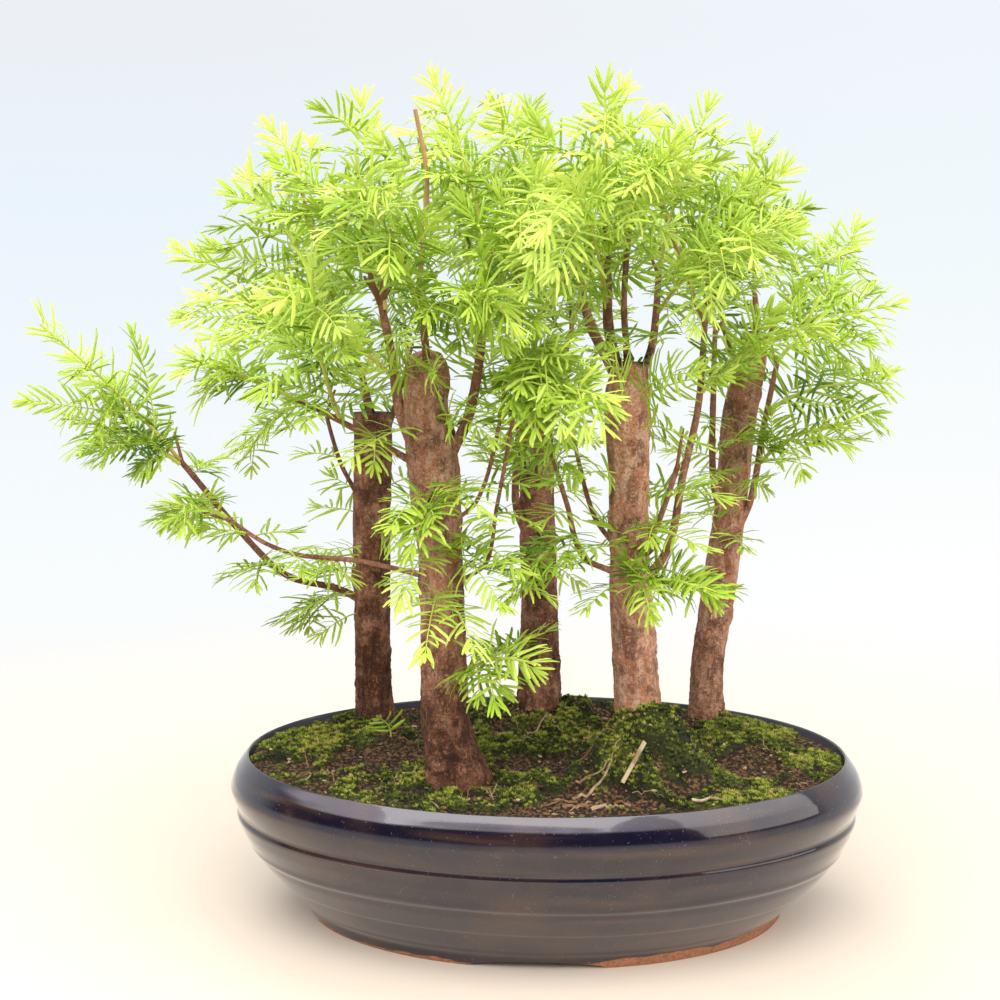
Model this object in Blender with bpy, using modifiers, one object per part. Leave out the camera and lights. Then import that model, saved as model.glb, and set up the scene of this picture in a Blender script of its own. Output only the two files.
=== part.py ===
"""Dawn redwood bonsai forest: five cut-back trunks in an oval glazed tray.

The tray is turned and pressed oval, the soil fills it, and each trunk stands in a
plain hole in the soil. Every tree is one solid of trunk and brown branches. The
soft green shoots are solids of their own, a hair clear of the wood that bears
them: each has a slim three-sided core with needles in two ranks along it.

Metres, +Z up. Plain numbers of the trees are millimetres from the middle of the
tray's foot, as measured on the object.
"""
import math
import random

import bmesh
import bpy
from mathutils import Matrix, Vector, noise
from mathutils.bvhtree import BVHTree

MM = 0.001
OBJECT_NAME = "dawn_redwood_forest"

# The tray's middle, seen from the middle of the whole object's footprint
TRAY_PLACE = Vector((0.0325, -0.0045, 0.0))

# Tray
TRAY_LENGTH = 0.300
TRAY_HEIGHT = 0.0765
ACROSS_AT_FOOT = 0.642
ACROSS_AT_RIM = 0.680
TURN_STEPS = 36
FLOOR_TOP = 0.0125
FLOOR_UNDER = 0.0050
DRAIN_X = 0.055
DRAIN_RADIUS = 0.008
NOTCH_X = -0.003
NOTCH_HALF_WIDTH = 0.030
NOTCH_HEIGHT = 0.0035
NOTCH_SINK = 0.0002

# Drain screens
SCREEN_SIDE = 0.026
SCREEN_THICKNESS = 0.0010
SCREEN_CELLS = 5

# Soil
SOIL_EDGE = 0.0722
SOIL_DOME = 0.0030
SOIL_GRAIN = 0.0014
SOIL_RINGS = 6
HEAP_SHOULDER = 1.4
WALL_GAP = 0.0005
GAP = 0.0003
WELD = 0.000001
HOLE_GAP = 0.0005

# Wood
TRUNK_FLUTES = 0.07
ROOT_LOBES = 5
ROOT_SPREAD = 0.22
ROOT_FADE = 0.012
COLLAR = 1.45

# Leafy shoots
NEEDLE = 0.0150
NEEDLE_SWEEP = math.radians(36)
NEEDLE_DROOP = 0.12
TOOTH_PITCH = 0.0070
CORE_HALF_WIDTH = 0.00075
CORE_HEIGHT = 0.0014
BARE_SHARE = 0.45
SIDE_SPRAYS = ((0.22, 1), (0.36, -1))
SIDE_ANGLE = math.radians(50)
SIDE_SHARE = 0.50
SIDE_BARE = 0.009
SHOOT_SEED = 7
ATTEMPTS = 60
CLEARANCE = 0.00025
SEAT_GAP = 0.0004
SEAT_STEP = 0.0001
SEAT_STEPS = 300

# Heaps of the soil: x, y, how high, how wide along x, how wide along y (mm)
HEAPS = (
    (43, -32, 25, 19, 18),
    (60, -42, 8, 12, 12),
    (-3, 60, 9, 22, 14),
    (30, 66, 6, 16, 12),
    (82, 52, 5, 14, 14),
    (-41, -42, 2, 14, 10),
    (-66, 10, 2, 20, 20),
    (104, 0, 3, 12, 22),
)

# Five trees. trunk: x, y, z, radius, from the buried foot up. branches: radius at
# the root and the tip, then points. shoots: the branch, how far along it, the tip.
TREES = {
    "back_left": {
        "trunk": ((-88, 58, 59, 9.5), (-88, 58, 73, 10.2), (-89, 58, 89, 9.6), (-89, 58, 115, 9.3),
                  (-89, 58, 168, 9.6), (-88, 58, 209, 9.8), (-88, 58, 233, 9.7)),
        "branches": {
            "low_left": (1.8, 1.4, ((-89, 58, 133), (-106, 54, 143), (-132, 46, 152), (-155, 38, 178),
                                    (-172, 28, 203), (-178, 26, 211))),
            "up_left": (1.3, 1.0, ((-90, 58, 181), (-105, 64, 206), (-114, 72, 233))),
            "crown_back": (2.2, 1.3, ((-89, 60, 224), (-92, 68, 238), (-97, 78, 256))),
            "crown_front": (2.0, 1.3, ((-86, 56, 222), (-92, 44, 255), (-99, 35, 274))),
            "far_back": (1.8, 1.2, ((-86, 60, 209), (-78, 78, 236), (-73, 90, 256))),
        },
        "shoots": (
            ("low_left", 1.0, (-241, 0, 283)), ("low_left", 0.94, (-227, 44, 224)),
            ("low_left", 0.86, (-226, 10, 252)), ("low_left", 0.68, (-192, 62, 173)),
            ("low_left", 0.45, (-140, 6, 152)), ("low_left", 0.15, (-133, 78, 117)),
            ("up_left", 1.0, (-168, 102, 203)), ("crown_back", 1.0, (-171, 110, 290)),
            ("crown_front", 1.0, (-146, 34, 352)), ("crown_front", 0.60, (-187, 24, 322)),
            ("far_back", 1.0, (-92, 112, 334)),
        ),
    },
    "front_left": {
        "trunk": ((-39, -44, 55, 10), (-39, -44, 70, 13.4), (-41, -44, 84, 12.2), (-44, -44, 102, 11.2),
                  (-45, -44, 134, 10.2), (-46, -44, 175, 9.7), (-49, -44, 214, 11.4),
                  (-52, -44, 240, 9.8), (-51, -44, 257, 9.4), (-51, -44, 264, 6.5)),
        "branches": {
            "long_low": (1.2, 0.9, ((-46, -44, 166), (-82, -44, 174), (-109, -36, 175), (-128, -28, 180),
                                    (-145, -22, 190))),
            "left_stub": (1.7, 1.0, ((-50, -44, 213), (-74, -50, 228), (-94, -58, 240), (-106, -62, 246))),
            "left_main": (2.9, 1.6, ((-52, -44, 212), (-63, -42, 238), (-67, -38, 262), (-73, -30, 288))),
            "right_main": (2.7, 1.6, ((-47, -44, 212), (-34, -48, 236), (-28, -52, 266), (-25, -52, 300))),
            "thin_right": (1.0, 0.8, ((-46, -44, 189), (-31, -54, 200), (-23, -60, 220), (-17, -66, 250))),
            "pink": (0.9, 0.8, ((-45, -44, 163), (-26, -60, 175), (-21, -66, 198), (-13, -74, 242))),
            "front": (2.0, 1.2, ((-51, -46, 255), (-51, -62, 273), (-53, -74, 286))),
        },
        "shoots": (
            ("long_low", 1.0, (-166, -54, 200)), ("left_stub", 1.0, (-150, -82, 266)),
            ("left_stub", 0.55, (-92, -104, 305)), ("left_main", 1.0, (-126, -8, 368)),
            ("left_main", 0.72, (-84, -10, 381)), ("left_main", 0.55, (-157, -26, 292)),
            ("right_main", 1.0, (-48, -50, 382)), ("right_main", 0.66, (-1, -96, 340)),
            ("thin_right", 1.0, (10, -108, 268)), ("pink", 1.0, (28, -114, 250)),
            ("front", 1.0, (-72, -126, 338)), ("front", 0.60, (-20, -128, 306)),
            ("trunk", 0.60, (-48, -100, 196)), ("trunk", 0.36, (-2, -92, 143)),
        ),
    },
    "back_centre": {
        "trunk": ((-2, 62, 68, 9.5), (-3, 62, 82, 11), (-3, 62, 105, 10.7), (-3, 62, 136, 9.4),
                  (-4, 62, 178, 9.0), (-5, 62, 219, 8.7), (-6, 62, 254, 8.6)),
        "branches": {
            "left_tall": (2.2, 1.3, ((-4, 62, 159), (-15, 54, 187), (-13, 50, 230), (-13, 48, 279),
                                     (-14, 47, 302))),
            "right": (1.9, 1.3, ((-5, 62, 222), (7, 72, 254), (13, 77, 275))),
            "back": (1.8, 1.3, ((-6, 62, 245), (-11, 78, 264), (-16, 92, 283))),
        },
        "shoots": (
            ("left_tall", 1.0, (-8, 30, 387)), ("left_tall", 0.70, (-54, 76, 378)),
            ("right", 1.0, (40, 100, 376)), ("back", 1.0, (-52, 112, 354)),
            ("back", 0.50, (24, 114, 318)), ("trunk", 0.20, (-33, 30, 122)),
        ),
    },
    "front_right": {
        "trunk": ((45, -26, 76, 9.3), (43, -26, 98, 10.8), (41, -26, 121, 10.3), (39, -26, 149, 9.8),
                  (38, -26, 172, 8.9), (37, -26, 208, 9.1), (36, -26, 244, 9.9), (38, -26, 260, 7.5)),
        "branches": {
            "left_low": (1.5, 1.0, ((38, -26, 165), (17, -38, 175), (10, -44, 197), (4, -50, 217))),
            "left_mid": (1.3, 0.9, ((38, -26, 171), (23, -18, 189), (16, -14, 211), (12, -10, 229))),
            "cut_right": (1.4, 1.2, ((38, -26, 168), (48, -38, 187), (57, -46, 217))),
            "right_main": (2.1, 1.2, ((39, -26, 156), (55, -24, 177), (62, -18, 210), (69, -12, 241),
                                      (72, -6, 279), (73, -4, 294))),
            "top_front": (3.1, 1.6, ((34, -26, 249), (27, -36, 276), (26, -46, 309))),
            "top_back": (3.0, 1.6, ((35, -25, 250), (20, -8, 277), (14, 4, 307))),
            "top_right": (2.3, 1.4, ((38, -26, 246), (47, -22, 268), (50, -16, 301))),
            "orange": (1.7, 1.1, ((37, -27, 252), (33, -46, 285), (34, -62, 316))),
        },
        "shoots": (
            ("left_low", 0.50, (-14, -72, 163)), ("left_low", 1.0, (-12, -60, 274)),
            ("trunk", 0.42, (66, -88, 172)),
            ("right_main", 1.0, (108, -8, 350)), ("right_main", 0.62, (116, -52, 280)),
            ("top_front", 1.0, (23, -66, 378)), ("top_front", 0.60, (4, -124, 326)),
            ("top_back", 1.0, (-25, 8, 380)), ("top_right", 1.0, (72, -14, 377)),
            ("top_right", 0.70, (92, -82, 318)), ("orange", 1.0, (56, -122, 334)),
        ),
    },
    "back_right": {
        "trunk": ((82, 52, 65, 8), (82, 52, 78, 8.8), (83, 52, 108, 8.4), (89, 52, 154, 8.4),
                  (93, 52, 190, 8.0), (96, 52, 230, 8.4), (102, 52, 260, 7.4), (103, 52, 272, 6)),
        "branches": {
            "right": (2.0, 1.2, ((91, 52, 163), (102, 46, 191), (106, 38, 226), (111, 30, 260))),
            "left": (2.0, 1.2, ((92, 52, 173), (83, 44, 201), (82, 42, 245), (82, 40, 274))),
            "top": (2.2, 1.3, ((102, 52, 262), (104, 53, 278), (103, 55, 292))),
            "far_right": (1.7, 1.2, ((101, 53, 252), (110, 61, 268), (119, 70, 285))),
            "far_left": (1.6, 1.2, ((98, 53, 240), (95, 66, 258), (91, 79, 275))),
        },
        "shoots": (
            ("right", 1.0, (166, 10, 289)), ("right", 0.75, (177, 44, 250)),
            ("right", 0.50, (142, -2, 234)), ("left", 1.0, (52, 44, 374)),
            ("top", 1.0, (104, 76, 374)), ("far_right", 1.0, (164, 106, 322)),
            ("far_left", 1.0, (82, 112, 330)),
        ),
    },
}

# A loose stick on the mound and a seedling on the flat soil (mm)
STICK_ENDS = ((44, -50), (34, -59))
STICK_RADIUS = 0.0011
STICK_RISE = 0.0155
SEEDLING_FOOT = (-76, 22)
SEEDLING_TIP = (-96, 6, 92)

GLAZE = (0.010, 0.012, 0.030)
SOIL_GREEN = (0.060, 0.070, 0.018)
SCREEN_BLACK = (0.020, 0.020, 0.022)
BARK = (0.155, 0.085, 0.060)
DEAD_WOOD = (0.560, 0.430, 0.290)
NEEDLE_GREEN = (0.330, 0.600, 0.045)


def clear_scene():
    """Remove every object of the start-up scene."""
    for obj in list(bpy.data.objects):
        bpy.data.objects.remove(obj, do_unlink=True)


def new_material(name, colour, roughness, coat=0.0):
    """A Principled material with one plain colour."""
    material = bpy.data.materials.new(name)
    material.use_nodes = True
    shader = material.node_tree.nodes["Principled BSDF"]
    shader.inputs["Base Color"].default_value = (*colour, 1.0)
    shader.inputs["Roughness"].default_value = roughness
    shader.inputs["Metallic"].default_value = 0.0
    shader.inputs["Coat Weight"].default_value = coat
    return material


def new_collection(name):
    """A collection in the scene."""
    collection = bpy.data.collections.new(name)
    bpy.context.scene.collection.children.link(collection)
    return collection


def mesh_object(name, bm, collection):
    """An object made of the bmesh, which is freed."""
    mesh = bpy.data.meshes.new(name)
    bm.to_mesh(mesh)
    bm.free()
    obj = bpy.data.objects.new(name, mesh)
    collection.objects.link(obj)
    return obj


def apply_modifiers(obj):
    """Give the object the mesh that its modifiers make."""
    depsgraph = bpy.context.evaluated_depsgraph_get()
    mesh = bpy.data.meshes.new_from_object(obj.evaluated_get(depsgraph))
    old = obj.data
    obj.modifiers.clear()
    obj.data = mesh
    bpy.data.meshes.remove(old)


def as_cutter(obj):
    """Show a cutter as wires only."""
    obj.hide_render = True
    obj.display_type = "WIRE"


def boolean(obj, operation, collection):
    """Join or cut the object with all that the collection holds, for good."""
    modifier = obj.modifiers.new(operation.lower(), "BOOLEAN")
    modifier.operation = operation
    modifier.operand_type = "COLLECTION"
    modifier.collection = collection
    modifier.solver = "EXACT"
    apply_modifiers(obj)
    for other in list(collection.objects):
        bpy.data.objects.remove(other, do_unlink=True)


def weld(obj):
    """Merge the points that a Boolean leaves all but on each other."""
    bm = bmesh.new()
    bm.from_mesh(obj.data)
    bmesh.ops.triangulate(bm, faces=bm.faces)
    bmesh.ops.remove_doubles(bm, verts=bm.verts, dist=WELD)
    bmesh.ops.dissolve_degenerate(bm, edges=bm.edges, dist=WELD)
    bmesh.ops.triangulate(bm, faces=bm.faces)
    bm.to_mesh(obj.data)
    bm.free()


def smooth_points(points, per_span):
    """Catmull-Rom samples through points of any number of values."""
    ends = [tuple(2 * a - b for a, b in zip(points[0], points[1]))]
    ends += list(points) + [tuple(2 * a - b for a, b in zip(points[-1], points[-2]))]
    samples = []
    for p0, p1, p2, p3 in zip(ends, ends[1:], ends[2:], ends[3:]):
        for step in range(per_span):
            t = step / per_span
            samples.append(tuple(
                0.5 * (2 * b + (c - a) * t + (2 * a - 5 * b + 4 * c - d) * t ** 2
                       + (3 * b - a - 3 * c + d) * t ** 3)
                for a, b, c, d in zip(p0, p1, p2, p3)))
    samples.append(tuple(points[-1]))
    return samples


def tube(name, samples, bevel_resolution, collection):
    """A closed tube mesh along samples of x, y, z and radius."""
    curve = bpy.data.curves.new(name, "CURVE")
    curve.dimensions = "3D"
    curve.bevel_depth = 1.0
    curve.bevel_resolution = bevel_resolution
    curve.use_fill_caps = True
    spline = curve.splines.new("POLY")
    spline.points.add(len(samples) - 1)
    for point, (x, y, z, radius) in zip(spline.points, samples):
        point.co = (x, y, z, 1.0)
        point.radius = radius
    guide = bpy.data.objects.new(name + "_guide", curve)
    collection.objects.link(guide)
    depsgraph = bpy.context.evaluated_depsgraph_get()
    mesh = bpy.data.meshes.new_from_object(guide.evaluated_get(depsgraph))
    bpy.data.objects.remove(guide, do_unlink=True)
    bm = bmesh.new()
    bm.from_mesh(mesh)
    bmesh.ops.remove_doubles(bm, verts=bm.verts, dist=0.00001)
    bmesh.ops.recalc_face_normals(bm, faces=bm.faces)
    bpy.data.meshes.remove(mesh)
    return mesh_object(name, bm, collection)


def in_metres(values):
    """Millimetres as metres."""
    return tuple(value * MM for value in values)


# Tray

def across(z):
    """How wide the tray is across, for its length, at a height."""
    return ACROSS_AT_FOOT + (ACROSS_AT_RIM - ACROSS_AT_FOOT) * z / TRAY_HEIGHT


def inner_wall():
    """Radius and height up the tray's inner wall, along its length."""
    half = TRAY_LENGTH / 2
    return [(half - 0.0430, FLOOR_TOP), (half - 0.0220, 0.0270), (half - 0.0112, 0.0560),
            (half - 0.0092, 0.0712)]


def tray_profile():
    """Section of the tray from the floor's middle, over the lip and down to the foot."""
    half = TRAY_LENGTH / 2
    lip = [(half - 0.0080, 0.0750), (half - 0.0052, TRAY_HEIGHT), (half - 0.0022, 0.0755),
           (half - 0.0003, 0.0715), (half, 0.0655)]
    bands = [(half - 0.0020, 0.0570), (half - 0.0022, 0.0500), (half - 0.0032, 0.0465),
             (half - 0.0070, 0.0405), (half - 0.0082, 0.0350), (half - 0.0130, 0.0275),
             (half - 0.0300, 0.0100)]
    foot = [(half - 0.0360, 0.0045), (half - 0.0375, 0.0), (half - 0.0455, 0.0),
            (half - 0.0465, FLOOR_UNDER)]
    return [(0.0, FLOOR_TOP)] + inner_wall() + lip + bands + foot + [(0.0, FLOOR_UNDER)]


def turned(name, profile, collection):
    """Turn a section round the Z axis and press it oval."""
    mesh = bpy.data.meshes.new(name)
    mesh.from_pydata([(r, 0.0, z) for r, z in profile],
                     [(i, i + 1) for i in range(len(profile) - 1)], [])
    obj = bpy.data.objects.new(name, mesh)
    collection.objects.link(obj)
    screw = obj.modifiers.new("turn", "SCREW")
    screw.steps = TURN_STEPS
    screw.render_steps = TURN_STEPS
    screw.use_merge_vertices = True
    screw.merge_threshold = 0.00005
    apply_modifiers(obj)
    for vertex in obj.data.vertices:
        vertex.co.y *= across(vertex.co.z)
    return obj


def cylinder(name, radius, depth, centre, segments, collection, turn=None):
    """A closed cylinder along Z, or turned by a matrix."""
    bm = bmesh.new()
    bmesh.ops.create_cone(bm, cap_ends=True, segments=segments, radius1=radius, radius2=radius,
                          depth=depth)
    bmesh.ops.transform(bm, matrix=Matrix.Translation(centre) @ (turn or Matrix()), verts=bm.verts)
    return mesh_object(name, bm, collection)


def make_tray(parts, cutters):
    """The glazed tray with its drain holes and the notches in its foot."""
    tray = turned("tray", tray_profile(), parts)
    for x in (-DRAIN_X, DRAIN_X):
        as_cutter(cylinder("drain", DRAIN_RADIUS, 0.03, (x, 0, 0.01), 15, cutters))
    squash = Matrix.Diagonal((1.0, NOTCH_HEIGHT / NOTCH_HALF_WIDTH, 1.0, 1.0))
    lay = Matrix.Rotation(math.radians(90), 4, "X")
    middle = (NOTCH_X, 0, -NOTCH_SINK)
    as_cutter(cylinder("notch", NOTCH_HALF_WIDTH, 0.3, middle, 20, cutters, lay @ squash))
    boolean(tray, "DIFFERENCE", cutters)
    tray.data.shade_smooth()
    tray.data.set_sharp_from_angle(angle=math.radians(40))
    return tray


def screen_mesh(name, side, thickness, cells, collection):
    """A square of plastic mesh, its middle at the origin, resting on Z 0."""
    bm = bmesh.new()
    bmesh.ops.create_grid(bm, x_segments=cells, y_segments=cells, size=side / 2)
    pitch = side / cells
    holes = [face for face in bm.faces
             if all(round((value + side / 2) / pitch - 0.5) % 2 for value in face.calc_center_median()[:2])]
    bmesh.ops.delete(bm, geom=holes, context="FACES_ONLY")
    obj = mesh_object(name, bm, collection)
    solidify = obj.modifiers.new("thickness", "SOLIDIFY")
    solidify.thickness = thickness
    solidify.offset = 1.0
    return obj


def make_screens(parts):
    """A mesh square over each drain hole."""
    screens = []
    for name, x in (("drain_screen_left", -DRAIN_X), ("drain_screen_right", DRAIN_X)):
        screen = screen_mesh(name, SCREEN_SIDE, SCREEN_THICKNESS, SCREEN_CELLS, parts)
        screen.location = (x, 0.0, FLOOR_TOP + GAP)
        screens.append(screen)
    return screens


# Soil

def soil_height(x, y):
    """Height of the soil's surface."""
    half = TRAY_LENGTH / 2 - 0.0092
    edge = min(1.0, math.hypot(x / half, y / (half * across(SOIL_EDGE))))
    inward = 1.0 - edge ** 6
    height = SOIL_DOME * (1.0 - edge ** 2)
    for cx, cy, rise, wide_x, wide_y in HEAPS:
        reach = ((x / MM - cx) / wide_x) ** 2 + ((y / MM - cy) / wide_y) ** 2
        height += rise * MM * math.exp(-0.5 * reach ** HEAP_SHOULDER) * inward
    height += SOIL_GRAIN * noise.noise(Vector((x * 70, y * 70, 3.0))) * inward
    return SOIL_EDGE + height


def make_soil(parts, cutters, trunks):
    """The bed of soil, with a plain hole for each trunk and a recess over each screen."""
    wall = [(r - WALL_GAP, z) for r, z in inner_wall()]
    wall[0] = (wall[0][0], FLOOR_TOP + GAP)
    rim_radius = wall[-1][0]
    top = [(rim_radius * ring / SOIL_RINGS, SOIL_EDGE) for ring in range(SOIL_RINGS)]
    side = [(rim_radius, SOIL_EDGE), *reversed(wall[:-1])]
    soil = turned("soil", top + side + [(0.0, FLOOR_TOP + GAP)], parts)
    for vertex in soil.data.vertices:
        if abs(vertex.co.z - SOIL_EDGE) < 0.00005:
            vertex.co.z = soil_height(vertex.co.x, vertex.co.y)
    for tree, spec in trunks.items():
        as_cutter(trunk_tube("hole_" + tree, spec["trunk"], cutters, HOLE_GAP))
    for x in (-DRAIN_X, DRAIN_X):
        bm = bmesh.new()
        bmesh.ops.create_cube(bm, size=1.0)
        side_length = SCREEN_SIDE + 2 * GAP
        bmesh.ops.scale(bm, vec=(side_length, side_length, 2 * (SCREEN_THICKNESS + 2 * GAP)),
                        verts=bm.verts)
        bmesh.ops.translate(bm, vec=(x, 0, FLOOR_TOP), verts=bm.verts)
        as_cutter(mesh_object("recess", bm, cutters))
    boolean(soil, "DIFFERENCE", cutters)
    return soil


# Wood

def trunk_tube(name, points, collection, grow=0.0):
    """A trunk with shallow flutes and a lobed root flare, or its hole if it is grown."""
    samples = [(*in_metres(point[:3]), point[3] * MM + grow) for point in points]
    x, y, z, radius = samples[0]
    samples[0] = (x, y, z - grow, radius)
    trunk = tube(name, samples, 4, collection)
    ground = soil_height(points[1][0] * MM, points[1][1] * MM)
    for vertex in trunk.data.vertices:
        z = min(max(vertex.co.z, samples[0][2]), samples[-1][2])
        axis = axis_at(samples, z)
        out = vertex.co - axis
        angle = math.atan2(out.y, out.x)
        lobe = 0.5 + 0.5 * math.cos(ROOT_LOBES * angle + points[0][0])
        flare = ROOT_SPREAD * lobe * math.exp(-((z - ground) / ROOT_FADE) ** 2)
        flute = TRUNK_FLUTES * noise.noise(Vector((2 * math.cos(angle), 2 * math.sin(angle), z * 40)))
        swell = 1.0 + flare + flute
        vertex.co.x = axis.x + out.x * swell
        vertex.co.y = axis.y + out.y * swell
    split_alike(trunk)
    return trunk


def split_alike(obj):
    """Split the faces into triangles the same way on a trunk and on its hole."""
    bm = bmesh.new()
    bm.from_mesh(obj.data)
    bmesh.ops.triangulate(bm, faces=bm.faces, quad_method="FIXED")
    bm.to_mesh(obj.data)
    bm.free()


def axis_at(samples, z):
    """Point on a rising stem's middle line at a height."""
    for low, high in zip(samples, samples[1:]):
        if low[2] <= z <= high[2]:
            share = (z - low[2]) / max(high[2] - low[2], 1e-9)
            return Vector(low[:3]).lerp(Vector(high[:3]), share)
    return Vector(samples[-1][:3])


def branch_samples(branch):
    """Samples along a branch, with a thicker collar where it leaves the trunk."""
    root, tip, points = branch
    last = len(points) - 1
    tapered = [in_metres((*point, root + (tip - root) * i / last)) for i, point in enumerate(points)]
    samples = smooth_points(tapered, 1 if last > 4 else 2)
    x, y, z, radius = samples[0]
    samples[0] = (x, y, z, radius * COLLAR)
    return samples


def make_tree(tree, spec, parts, joined):
    """One solid of a trunk and its branches."""
    trunk = trunk_tube("tree_" + tree, spec["trunk"], parts)
    for name, branch in spec["branches"].items():
        tube(name, branch_samples(branch), 1 if branch[0] > 1.6 else 0, joined)
    boolean(trunk, "UNION", joined)
    trunk.data.shade_smooth()
    return trunk


def make_stick(parts):
    """A dead stick that leans on the mound, just clear of it."""
    (ax, ay), (bx, by) = STICK_ENDS
    count = 5
    feet = [Vector((ax + (bx - ax) * i / count, ay + (by - ay) * i / count, 0)) * MM
            for i in range(count + 1)]
    ground = [soil_height(foot.x, foot.y) for foot in feet]
    line = [ground[-1] + STICK_RISE * (1 - i / count) for i in range(count + 1)]
    lift = max(g - z for g, z in zip(ground, line)) + STICK_RADIUS * 1.5 + GAP
    samples = [(foot.x, foot.y, z + lift, STICK_RADIUS) for foot, z in zip(feet, line)]
    return tube("stick", samples[::count], 1, parts)


# Leafy shoots

def shoot_axis(start, leave, tip):
    """A function of a share from 0 to 1 that gives a point and a direction of an arched stem."""
    length = (tip - start).length
    control = start + leave * length * 0.45

    def at(share):
        point = start.lerp(control, share).lerp(control.lerp(tip, share), share)
        heading = control.lerp(tip, share) - start.lerp(control, share)
        return point, heading.normalized()
    return at


def blade_up(heading, outward, roll):
    """The way a spray's upper side faces: up, or outwards on a stem that rises."""
    up = Vector((0, 0, 1)) + outward * 0.6
    up = (up - heading * up.dot(heading)).normalized()
    return Matrix.Rotation(roll, 3, heading) @ up


def frame_at(axis, share, up):
    """Point, heading, side and upper direction of a spray at a share of its length."""
    point, heading = axis(share)
    side = heading.cross(up).normalized()
    return point, heading, side, side.cross(heading)


def needle_length(share):
    """Needles are short at a spray's foot, longest low on it and short at its tip."""
    return NEEDLE * (0.72 + 0.28 * min(1.0, 5 * share)) * (1.0 - 0.5 * share ** 2)


def spray_mesh(axis, length, up, bare, forks=()):
    """A closed spray: a three-sided core, and needles in two ranks cut down to it."""
    teeth = max(3, round((length - bare) / TOOTH_PITCH))
    stem = [0.0, *forks]
    shares = stem + [(bare + (length - bare) * i / teeth) / length for i in range(teeth + 1)]
    bm = bmesh.new()
    rings = []
    for share in shares:
        point, heading, side, above = frame_at(axis, share, up)
        half = CORE_HALF_WIDTH * (1.0 - 0.4 * share)
        rings.append([bm.verts.new(point - side * half), bm.verts.new(point + side * half),
                      bm.verts.new(point + above * CORE_HEIGHT * (1.0 - 0.35 * share))])
    bm.faces.new(rings[0])
    for ring, after in zip(rings[:len(stem)], rings[1:]):
        for a, b in ((0, 2), (2, 1), (1, 0)):
            bm.faces.new((ring[a], after[a], after[b], ring[b]))
    for tooth in range(teeth):
        place = tooth + len(stem)
        ring, after = rings[place], rings[place + 1]
        middle = (shares[place] + shares[place + 1]) / 2
        point, heading, side, above = frame_at(axis, middle, up)
        reach = needle_length((tooth + 0.5) / teeth)
        for edge, way in ((0, -1), (1, 1)):
            out = side * way * math.cos(NEEDLE_SWEEP) + heading * math.sin(NEEDLE_SWEEP)
            tip = bm.verts.new(point + (out - above * NEEDLE_DROOP) * reach)
            bm.faces.new((ring[edge], tip, ring[2]))
            bm.faces.new((ring[2], tip, after[2]))
            bm.faces.new((after[2], tip, after[edge]))
            bm.faces.new((ring[edge], after[edge], tip))
        bm.faces.new((ring[0], ring[1], after[1], after[0]))
    point, heading, side, above = frame_at(axis, 1.0, up)
    tip = bm.verts.new(point + heading * needle_length(1.0))
    last = rings[-1]
    for a, b in ((0, 2), (2, 1), (1, 0)):
        bm.faces.new((last[a], tip, last[b]))
    bmesh.ops.triangulate(bm, faces=bm.faces)
    bmesh.ops.recalc_face_normals(bm, faces=bm.faces)
    return bm


def make_shoot(name, foot, leave, tip, outward, roll, bearer, parts, joined):
    """One leafy shoot, seated on what bears it: a stem with needles and two side sprays."""
    end = tip - (tip - foot).normalized() * needle_length(1.0)
    up = blade_up(shoot_axis(foot, leave, end)(0.5)[1], outward, roll)
    start = seat(bearer, foot, leave, up)
    length = (tip - start).length
    axis = shoot_axis(start, leave, end)
    forks = [share for share, _ in SIDE_SPRAYS]
    shoot = mesh_object(name, spray_mesh(axis, length, up, BARE_SHARE * length, forks), parts)
    for share, way in SIDE_SPRAYS:
        point, heading, side, above = frame_at(axis, share, up)
        turned_out = heading * math.cos(SIDE_ANGLE) + side * way * math.sin(SIDE_ANGLE)
        side_length = SIDE_SHARE * length
        foot = point + above * 0.0002
        side_tip = foot + (turned_out + heading * 0.15 - above * 0.10) * side_length
        side_axis = shoot_axis(foot, turned_out, side_tip)
        mesh_object("side", spray_mesh(side_axis, side_length, above, SIDE_BARE), joined)
    boolean(shoot, "UNION", joined)
    weld(shoot)
    return shoot


def surface_tree(obj, grow=0.0):
    """A search tree of an object's faces, moved out along their normals by a gap."""
    mesh = obj.data
    mesh.calc_loop_triangles()
    points = [vertex.co + vertex.normal * grow for vertex in mesh.vertices]
    return BVHTree.FromPolygons(points, [tri.vertices[:] for tri in mesh.loop_triangles])


def seat(bearer, foot, leave, up):
    """The first point along a direction where the stem's end is just clear of its bearer."""
    side = leave.cross(up).normalized()
    above = side.cross(leave)
    corners = (-side * CORE_HALF_WIDTH, side * CORE_HALF_WIDTH, above * CORE_HEIGHT)
    for step in range(SEAT_STEPS):
        start = foot + leave * step * SEAT_STEP
        if all(outside_by(bearer, start + corner) > SEAT_GAP for corner in corners):
            break
    return start


def outside_by(surface, point):
    """How far a point lies outside a surface, below zero if it is inside."""
    place, normal, _, distance = surface.find_nearest(point)
    return math.copysign(distance, (point - place).dot(normal))


def stem_point(spec, branch, along):
    """Point and heading of a trunk or branch at a share of its length."""
    if branch == "trunk":
        samples = [in_metres(point) for point in spec["trunk"]]
    else:
        samples = branch_samples(spec["branches"][branch])
    place = along * (len(samples) - 1)
    low = min(int(place), len(samples) - 2)
    a, b = samples[low], samples[low + 1]
    point = Vector(a[:3]).lerp(Vector(b[:3]), place - low)
    return point, (Vector(b[:3]) - Vector(a[:3])).normalized()


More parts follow.
